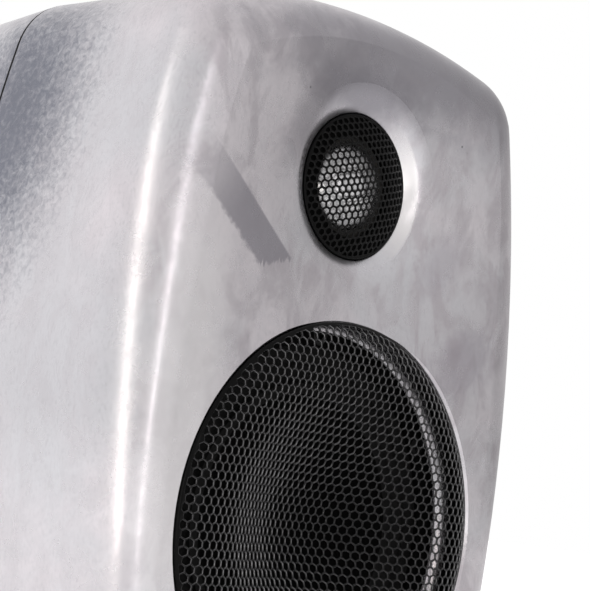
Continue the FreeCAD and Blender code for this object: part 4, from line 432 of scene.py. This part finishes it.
SPIDER_IN = 12.8
SPIDER_WAVES_END = 41.0
SPIDER_OUT = 45.3
SPIDER_FOOT = -47.5
SPIDER_SHEET = 0.6
SPIDER_WAVE = 0.7
SPIDER_HALF_WAVE = 3.6
dipped_cloth = grained_finish(
    "dipped_cloth", dark=(0.012, 0.011, 0.010), light=(0.03, 0.027, 0.024), rough=(0.70, 0.85),
    scale=900.0, patch=200.0, bump=0.5)
spider_r = np.linspace(SPIDER_IN, SPIDER_OUT, 120)
spider_wave = SPIDER_WAVE * (1 - np.cos((spider_r - SPIDER_IN) / SPIDER_HALF_WAVE * np.pi))
spider_h = SPIDER_FOOT + spider_wave * (spider_r < SPIDER_WAVES_END)
spider = turned_sheet("woofer_spider_disc", spider_r, spider_h, SPIDER_SHEET, WOOFER_AXIS, dipped_cloth)
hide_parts("woofer_spider")
flexing(spider)

# Lip of the woofer well: the cast metal narrows behind the grille in a rounded, bare ring that shows as a
# row of bright spots through the openings on the far side.
WELL_R = 66.8
LIP_R = 63.9
LIP_TOP = -7.6
LIP_FOOT = -12.2
quarter_turn = np.linspace(0.0, np.pi / 2, 14)
lip_r = WELL_R - (WELL_R - LIP_R) * (1 - np.cos(quarter_turn))
lip_h = LIP_TOP + (LIP_FOOT - LIP_TOP) * np.sin(quarter_turn)
lip = turned("woofer_well_lip", np.concatenate([lip_r, [WELL_R]]), np.concatenate([lip_h, [LIP_FOOT]]),
             WOOFER_AXIS, cast)
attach(lip, "cabinet")

# Woofer grille: steel sheet punched all over with hexagons, drawn into a bowl with a rolled crest and
# coated satin black, with the coat rubbed off round the openings. It is pressed into the recess in front
# of the basket.
COAT_BLACK = (0.003, 0.003, 0.003, 1.0)
RUBBED_STEEL = (0.235, 0.235, 0.24, 1.0)
grille_coat, coat_tree, coat_shader, coat_at = new_material("satin_black_coat", {"Specular IOR Level": 0.10})
coat_worn = add(coat_tree, "ShaderNodeAttribute", attribute_name="worn").outputs["Fac"]
coat_grain = noise(coat_tree, coat_at, 900.0)
rubbed = calc(coat_tree, "MULTIPLY", coat_worn, spread(coat_tree, coat_grain, 0.30, 0.60, 0.55, 1.0))
coat_tree.links.new(tint(coat_tree, rubbed, COAT_BLACK, RUBBED_STEEL), coat_shader.inputs["Base Color"])
coat_tree.links.new(calc(coat_tree, "MULTIPLY", rubbed, 0.9), coat_shader.inputs["Metallic"])
coat_tree.links.new(spread(coat_tree, coat_grain, 0.3, 0.7, 0.16, 0.26), coat_shader.inputs["Roughness"])


def punched_sheet(name, form, reach, edge, pitch, bar, sheet, axis, lie=0.0, least=0.4, wear=1.0):
    """A honeycomb sheet: every cell is a hexagon ring from bar middle to opening, top and bottom.

    Corners beyond the reach are drawn in to its circle, so cut cells end there; where less than the least
    share of a cell is left it stays closed. The plain edge beyond is carried round as radius and height,
    back to the underside. Heights follow the form along its normal. The pattern lies turned by an angle,
    and wear is how bare the rubbed rings of the bars are.
    """
    rows = int(reach / pitch * 1.2) + 2
    column, row = np.meshgrid(np.arange(-rows, rows + 1), np.arange(-rows, rows + 1))
    row_step = pitch * math.sqrt(0.75)
    middles = np.stack([(column + (row % 2) / 2) * pitch, row * row_step], -1).reshape(-1, 1, 2)
    turn = np.arange(6) * np.pi / 3
    corners = middles + pitch / math.sqrt(3) * np.stack([np.sin(turn), np.cos(turn)], -1)
    corners = corners @ np.array([[math.cos(lie), math.sin(lie)], [-math.sin(lie), math.cos(lie)]])
    out = np.linalg.norm(corners, axis=-1)
    kept = (out < reach).any(1)
    corners = corners[kept] * np.minimum(1.0, reach / out[kept])[..., None]
    ahead = np.roll(corners, -1, axis=1)
    area = -0.5 * (corners[..., 0] * ahead[..., 1] - corners[..., 1] * ahead[..., 0]).sum(1)
    is_open = area > least * row_step * pitch

    def lifted(flat, below):
        """Flat places put on the form, a distance below it along its normal."""
        r = np.linalg.norm(flat, axis=-1)
        slope = (form(r + 0.01) - form(r - 0.01)) / 0.02
        lean = np.sqrt(1 + slope ** 2)
        side = flat * (1 + (below * slope / lean / np.maximum(r, 1e-6)))[..., None]
        return in_front(side[..., 0], side[..., 1], form(r) - below / lean, axis)

    points, faces, bare = [], [], []

    def lay(block, marks):
        """Adds faces given as blocks of corner points, with how worn each corner is."""
        count = sum(len(earlier) for earlier in points)
        points.append(block.reshape(-1, 3))
        bare.append(np.broadcast_to(marks, block.shape[:2]).reshape(-1))
        faces.append(np.arange(block.shape[0] * block.shape[1]).reshape(block.shape[:2]) + count)

    # Rings of a bar's section: share of its half width, share of the sheet's depth, how rubbed it is
    bars = ((0.0, 0.0, 0.0), (0.35, 0.04, 0.0), (0.72, 0.16, 1.0), (1.0, 0.42, 1.0),
            (1.0, 0.8, 0.0), (0.6, 1.0, 0.0), (0.0, 1.0, 0.0))
    open_middles = corners[is_open].mean(1, keepdims=True)
    to_corners = corners[is_open] - open_middles
    rings = [lifted(open_middles + to_corners * (1 - part * bar / pitch), depth * sheet)
             for part, depth, mark in bars]
    for first, second, upper, lower in zip(rings, rings[1:], bars, bars[1:]):
        lay(np.stack([first, np.roll(first, -1, 1), np.roll(second, -1, 1), second], 2).reshape(-1, 4, 3),
            np.array([upper[2], upper[2], lower[2], lower[2]]) * wear)
    for below in (0.0, sheet):
        lay(lifted(corners[~is_open], below), 0.0)
    rim = reach - 1e-6
    on_edge = (np.linalg.norm(corners, axis=-1) > rim) & (np.linalg.norm(ahead, axis=-1) > rim)
    pair = np.stack([corners[on_edge], ahead[on_edge]], 1)
    way = pair / reach
    border = [lifted(pair, 0.0)]
    border += [in_front(way[..., 0] * r, way[..., 1] * r, h, axis) for r, h in edge]
    border += [lifted(pair, sheet)]
    for first, second in zip(border, border[1:]):
        lay(np.stack([first[:, 0], first[:, 1], second[:, 1], second[:, 0]], 1), 0.0)
    outlines = [face for block in faces for face in block.tolist()]
    piece = solid_from(name, np.concatenate(points), outlines, grille_coat, np.concatenate(bare))
    smooth_up_to(piece, 50)
    return piece


CREST = 2.8
CREST_R = 57.0
RIM_BOW = 18.0
CREST_BOW = 38.0
BOWL_BOW = 46.0
SLOPE = math.radians(26.8)
BOWL_DROP = ((CREST_BOW + BOWL_BOW) * (1 - math.cos(SLOPE))
             + (CREST_R - (CREST_BOW + BOWL_BOW) * math.sin(SLOPE)) * math.tan(SLOPE))


def woofer_bowl(r):
    """Bowl arc, straight slope, crest arc and rim arc from the middle out, each tangent to the next."""
    bowl = CREST - BOWL_DROP + BOWL_BOW - np.sqrt(np.maximum(BOWL_BOW ** 2 - r ** 2, 0.0))
    foot = BOWL_BOW * math.sin(SLOPE)
    flank = CREST - BOWL_DROP + BOWL_BOW * (1 - math.cos(SLOPE)) + (r - foot) * math.tan(SLOPE)
    crest = CREST - CREST_BOW + np.sqrt(np.maximum(CREST_BOW ** 2 - (r - CREST_R) ** 2, 0.0))
    rim = CREST - RIM_BOW + np.sqrt(np.maximum(RIM_BOW ** 2 - (r - CREST_R) ** 2, 0.0))
    flank_end = CREST_R - CREST_BOW * math.sin(SLOPE)
    return np.select([r < foot, r < flank_end, r < CREST_R], [bowl, flank, crest], rim)


SKIRT_R = 67.1
SKIRT_FOOT = -7.5
WOOFER_SHEET = 0.9
WOOFER_HOLES_R = 66.3
WOOFER_PITCH = 3.05
WOOFER_BAR = 0.55
skirt = [(66.7, -0.02), (66.98, -0.24), (SKIRT_R, -0.6), (SKIRT_R, SKIRT_FOOT),
         (SKIRT_R - WOOFER_SHEET, SKIRT_FOOT), (SKIRT_R - WOOFER_SHEET, -1.1)]
woofer_sheet = punched_sheet("woofer_grille_sheet", woofer_bowl, WOOFER_HOLES_R, skirt, WOOFER_PITCH,
                             WOOFER_BAR, WOOFER_SHEET, WOOFER_AXIS)
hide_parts("woofer_grille")
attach(woofer_sheet, "cabinet")

# Tweeter: a bright drawn metal dome on a cloth suspension, in a black chassis ring that is screwed on from
# behind, with a small magnet in a steel cup. Its grille is a shallow dome of the same punched sheet.
dress(coated_basket, "tweeter_chassis")
dress(copper_wire, "tweeter_voice_coil")
dress(zinc_steel, "tweeter_pole_plate", "tweeter_cup")
dress(ferrite, "tweeter_magnet")
DOME_R = 15.0
DOME_RISE = 7.0
DOME_SHEET = 0.3
DOME_FOOT = -11.4
DOME_BOW = (DOME_R ** 2 + DOME_RISE ** 2) / (2 * DOME_RISE)
bright_dome = grained_finish(
    "bright_dome", dark=(0.72, 0.72, 0.73), light=(0.84, 0.84, 0.85), rough=(0.24, 0.30),
    scale=1500.0, patch=150.0, fixed={"Metallic": 1.0}, bump=0.02)
dome_r = np.linspace(0.0, DOME_R, 33)
dome_h = DOME_FOOT + DOME_RISE - DOME_BOW + np.sqrt(DOME_BOW ** 2 - dome_r ** 2)
dome = turned_sheet("tweeter_dome_cap", dome_r, dome_h, DOME_SHEET, TWEETER_AXIS, bright_dome)
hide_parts("tweeter_dome")
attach(dome, "tweeter_diaphragm")

CLOTH = 0.4
CLOTH_ROLL_R = 17.0
CLOTH_ROLL_RISE = 0.55
CLOTH_R = 20.7
half_turn = np.linspace(0.0, np.pi, 13)
cloth_roll_r = (DOME_R + CLOTH_ROLL_R) / 2 - (CLOTH_ROLL_R - DOME_R) / 2 * np.cos(half_turn)
cloth_r = np.concatenate([cloth_roll_r, [CLOTH_R]])
cloth_h = np.concatenate([CLOTH_ROLL_RISE * np.sin(half_turn), [0.0]]) + DOME_FOOT
suspension = turned_sheet("tweeter_suspension_roll", cloth_r, cloth_h, CLOTH, TWEETER_AXIS, dipped_cloth)
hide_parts("tweeter_suspension")
flexing(suspension)

CAP_R = 23.2
CAP_RISE = 5.0
CAP_FOOT = -7.4
CAP_BOW = (CAP_R ** 2 + CAP_RISE ** 2) / (2 * CAP_RISE)
CAP_HOLES_R = 23.3
CAP_PITCH = 2.55
CAP_BAR = 0.68
CAP_SHEET = 0.6
CAP_LIE = math.radians(15.6)


def tweeter_cap(r):
    """A spherical cap that ends in a flat rim."""
    dome_part = np.sqrt(np.maximum(CAP_BOW ** 2 - r ** 2, 0.0)) - CAP_BOW + CAP_RISE
    return CAP_FOOT + np.where(r < CAP_R, dome_part, 0.0)


flat_rim = [(23.55, -7.42), (23.8, -7.5), (23.9, -7.7), (23.9, -7.9), (23.8, -8.0)]
tweeter_sheet = punched_sheet("tweeter_grille_sheet", tweeter_cap, CAP_HOLES_R, flat_rim, CAP_PITCH, CAP_BAR,
                              CAP_SHEET, TWEETER_AXIS, lie=CAP_LIE, least=0.15, wear=0.06)
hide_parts("tweeter_grille")
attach(tweeter_sheet, "cabinet")

# Rear: a powder-coated steel panel with moulded sockets, a level knob, tone levers and a rocker switch is
# screwed over the opening, beside a moulded port. The board behind it carries the amplifier, its
# transformer, capacitors and heat spreader.
powder_coat = grained_finish(
    "black_powder_coat", dark=(0.018, 0.018, 0.019), light=(0.04, 0.04, 0.041), rough=(0.50, 0.65),
    scale=1300.0, patch=60.0, bump=0.4)
dress(powder_coat, "connector_panel")
moulded_plastic = grained_finish(
    "moulded_plastic", dark=(0.014, 0.014, 0.014), light=(0.03, 0.03, 0.03), rough=(0.42, 0.58),
    scale=1800.0, patch=70.0)
dress(moulded_plastic, "reflex_port", "audio_input_socket", "audio_output_socket", "mains_inlet",
      "power_switch_frame", "level_knob", "tone_switch_block")
smooth_plastic = grained_finish(
    "smooth_black_plastic", dark=(0.012, 0.012, 0.012), light=(0.022, 0.022, 0.022), rough=(0.15, 0.28),
    scale=1200.0, patch=90.0, bump=0.03)
dress(smooth_plastic, "power_rocker", "filter_capacitors")
white_plastic = grained_finish(
    "white_plastic", dark=(0.72, 0.72, 0.70), light=(0.84, 0.84, 0.82), rough=(0.35, 0.50),
    scale=1500.0, patch=300.0)
dress(white_plastic, "tone_lever_1", "tone_lever_2", "tone_lever_3", "tone_lever_4")
contact_metal = grained_finish(
    "contact_metal", dark=(0.60, 0.58, 0.54), light=(0.74, 0.72, 0.68), rough=(0.18, 0.30),
    scale=1800.0, patch=300.0, fixed={"Metallic": 1.0}, bump=0.03)
dress(contact_metal, "output_pins", "mains_pins")
solder_mask = grained_finish(
    "solder_mask", dark=(0.02, 0.10, 0.045), light=(0.04, 0.17, 0.08), rough=(0.25, 0.40),
    scale=1200.0, patch=160.0)
dress(solder_mask, "amplifier_board")
dress(zinc_steel, "level_control", "level_spindle")
dress(ferrite, "transformer_core")
dress(bright_dome, "heat_spreader")

# Pointer of the level knob: a short white bar pressed into the knob's face, standing out a little, so that
# the knob's turn can be seen.
POINTER_HALF = 0.35
POINTER_START = 1.5
POINTER_END = 5.2
POINTER_SINK = 0.4
POINTER_PROUD = 0.12
knob_low, knob_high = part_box("level_knob")
knob_face = np.array([(knob_low[0] + knob_high[0]) / 2, knob_high[1], (knob_low[2] + knob_high[2]) / 2])
outline = ((-POINTER_HALF, POINTER_START), (POINTER_HALF, POINTER_START),
           (POINTER_HALF, POINTER_END), (-POINTER_HALF, POINTER_END))
bar_corners = np.array([[x, y, z] for y in (-POINTER_SINK, POINTER_PROUD) for x, z in outline])
pointer = solid_from("knob_pointer", bar_corners * MM + knob_face, [
    (0, 1, 2, 3), (4, 5, 6, 7), (0, 1, 5, 4), (1, 2, 6, 5), (2, 3, 7, 6), (3, 0, 4, 7)], white_plastic)
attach(pointer, "level_knob")

# Studio: a pale floor that glows a little, a broad grey room, and two slanted strip lights, each in two
# lengths, that draw the highlights along the left front edge.
FLOOR_HALF = 6.0
FLOOR_PALE = (0.86, 0.86, 0.86, 1.0)
FLOOR_PALER = (0.90, 0.90, 0.90, 1.0)
GLOW_SEEN = 0.62
GLOW_LEFT = 0.35
GLOW_RIGHT = 0.12
floor_mesh = bpy.data.meshes.new("floor")
floor_mesh.from_pydata([
    (-FLOOR_HALF, -FLOOR_HALF, 0.0), (FLOOR_HALF, -FLOOR_HALF, 0.0),
    (FLOOR_HALF, FLOOR_HALF, 0.0), (-FLOOR_HALF, FLOOR_HALF, 0.0)], [], [(0, 1, 2, 3)])
floor = bpy.data.objects.new("floor", floor_mesh)
bpy.context.scene.collection.objects.link(floor)
floor_paint, floor_tree, floor_shader, floor_at = new_material("pale_floor", {
    "Roughness": 0.6, "Emission Strength": 1.0})
floor_seen = add(floor_tree, "ShaderNodeLightPath").outputs["Is Camera Ray"]
floor_x = along(floor_tree, floor_at, (1.0, 0.0, 0.0))
floor_glow = add(floor_tree, "ShaderNodeMix", {
    0: floor_seen, 2: spread(floor_tree, floor_x, -1.5, 1.5, GLOW_LEFT, GLOW_RIGHT), 3: GLOW_SEEN})
floor_tree.links.new(floor_glow.outputs[0], floor_shader.inputs["Emission Color"])
floor_colour = tint(floor_tree, noise(floor_tree, floor_at, 3.0), FLOOR_PALE, FLOOR_PALER)
floor_tree.links.new(floor_colour, floor_shader.inputs["Base Color"])
floor_mesh.materials.append(floor_paint)

# The room is white to the camera. To the metal it is a grey level with a fall from back left to front
# right, a brighter field before the front, and darker ends far to the right, below and above.
ROOM_LEVEL = 0.55
ROOM_FALL = (-0.065, 0.15, 0.0)
WARM_WHITE = (1.0, 0.98, 0.985, 1.0)
WHITE = (1.0, 1.0, 1.0, 1.0)
world = bpy.data.worlds.new("studio")
bpy.context.scene.world = world
world.use_nodes = True
sky = world.node_tree
background = sky.nodes["Background"].inputs
toward = add(sky, "ShaderNodeTexCoord").outputs["Generated"]
way_x, way_y, way_z = add(sky, "ShaderNodeSeparateXYZ", {0: toward}).outputs
before_left = spread(sky, way_x, -0.20, 0.15)
before_right = spread(sky, way_x, 0.64, 0.42)
before = calc(sky, "MULTIPLY", calc(sky, "MULTIPLY", before_left, before_right),
              spread(sky, way_y, 0.0, -0.5, 0.0, 0.06))
level = calc(sky, "ADD", along(sky, toward, ROOM_FALL), ROOM_LEVEL)
for part in (
        spread(sky, way_x, 0.62, 0.92, 0.10, -0.10),
        spread(sky, way_z, -0.12, 0.16, -0.10, 0.10),
        spread(sky, way_z, 0.2, 0.8, 0.0, -0.04),
        before):
    level = calc(sky, "ADD", level, part)
seen = add(sky, "ShaderNodeLightPath").outputs["Is Camera Ray"]
sky.links.new(tint(sky, seen, WARM_WHITE, WHITE), background["Color"])
sky.links.new(add(sky, "ShaderNodeMix", {0: seen, 2: level, 3: 1.0}).outputs[0], background["Strength"])


def as_matrix(x_way, y_way, z_way, place):
    """The matrix that stands an object at a place with its axes along three ways."""
    return Matrix((*zip(x_way, y_way, z_way, place), (0.0, 0.0, 0.0, 1.0)))


LIT_PLACE = Vector((-0.07, -0.07, 0.17))


def strip_light(name, first, last, width, power, colour):
    """A rectangular lamp whose long side runs from one point to another, facing the cabinet's left edge."""
    start = Vector(first)
    end = Vector(last)
    middle = (start + end) / 2
    lamp = bpy.data.lights.new(name, "AREA")
    lamp.shape = "RECTANGLE"
    lamp.size = width
    lamp.size_y = (end - start).length
    lamp.energy = power
    lamp.color = colour
    holder = bpy.data.objects.new(name, lamp)
    bpy.context.scene.collection.objects.link(holder)
    long_way = (end - start).normalized()
    back = middle - LIT_PLACE
    back = (back - long_way * back.dot(long_way)).normalized()
    holder.matrix_world = as_matrix(long_way.cross(back), long_way, back, middle)
    holder.visible_camera = False


EDGE_LOW = (-0.55, -0.905, -0.08)
EDGE_BEND = (-1.465, -0.185, 0.85)
EDGE_HIGH = (-2.054, 0.269, 1.41)
EDGE_COLOUR = (1.0, 0.935, 0.86)
strip_light("edge_strip", EDGE_LOW, EDGE_BEND, width=0.065, power=1.00, colour=EDGE_COLOUR)
strip_light("edge_strip_high", EDGE_BEND, EDGE_HIGH, width=0.09, power=0.62, colour=EDGE_COLOUR)
FRONT_LOW = (-0.13, -1.05, -0.08)
FRONT_BEND = (-0.13, -1.04, 0.27)
FRONT_HIGH = (-0.52, -1.005, 0.72)
FRONT_COLOUR = (1.0, 0.95, 0.96)
strip_light("front_strip_low", FRONT_LOW, FRONT_BEND, width=0.055, power=0.115, colour=FRONT_COLOUR)
strip_light("front_strip_high", FRONT_BEND, FRONT_HIGH, width=0.055, power=0.21, colour=FRONT_COLOUR)

# Camera: the photograph's viewpoint, close to the front at the left and tilted a little. It was found from
# both driver circles and the outline.
EYE = Vector((-0.4717, FRONT_PLANE - 0.4432, 0.1340))
AZIMUTH = math.radians(44.95)
RISE = math.radians(5.36)
TILT = math.radians(6.89)
SENSOR = 36.0
LONG_SIDE = 591
FOCAL_PIXELS = 2000.0
ahead_way = Vector((math.sin(AZIMUTH) * math.cos(RISE), math.cos(AZIMUTH) * math.cos(RISE), math.sin(RISE)))
level_right = ahead_way.cross(Vector((0.0, 0.0, 1.0))).normalized()
level_up = level_right.cross(ahead_way)
right_way = level_right * math.cos(TILT) + level_up * math.sin(TILT)
up_way = level_up * math.cos(TILT) - level_right * math.sin(TILT)
camera_data = bpy.data.cameras.new("camera")
camera_data.sensor_width = SENSOR
camera_data.lens = FOCAL_PIXELS * SENSOR / LONG_SIDE
camera = bpy.data.objects.new("camera", camera_data)
bpy.context.scene.collection.objects.link(camera)
camera.matrix_world = as_matrix(right_way, up_way, -ahead_way, EYE)
bpy.context.scene.camera = camera
bpy.context.scene.view_settings.view_transform = "Standard"
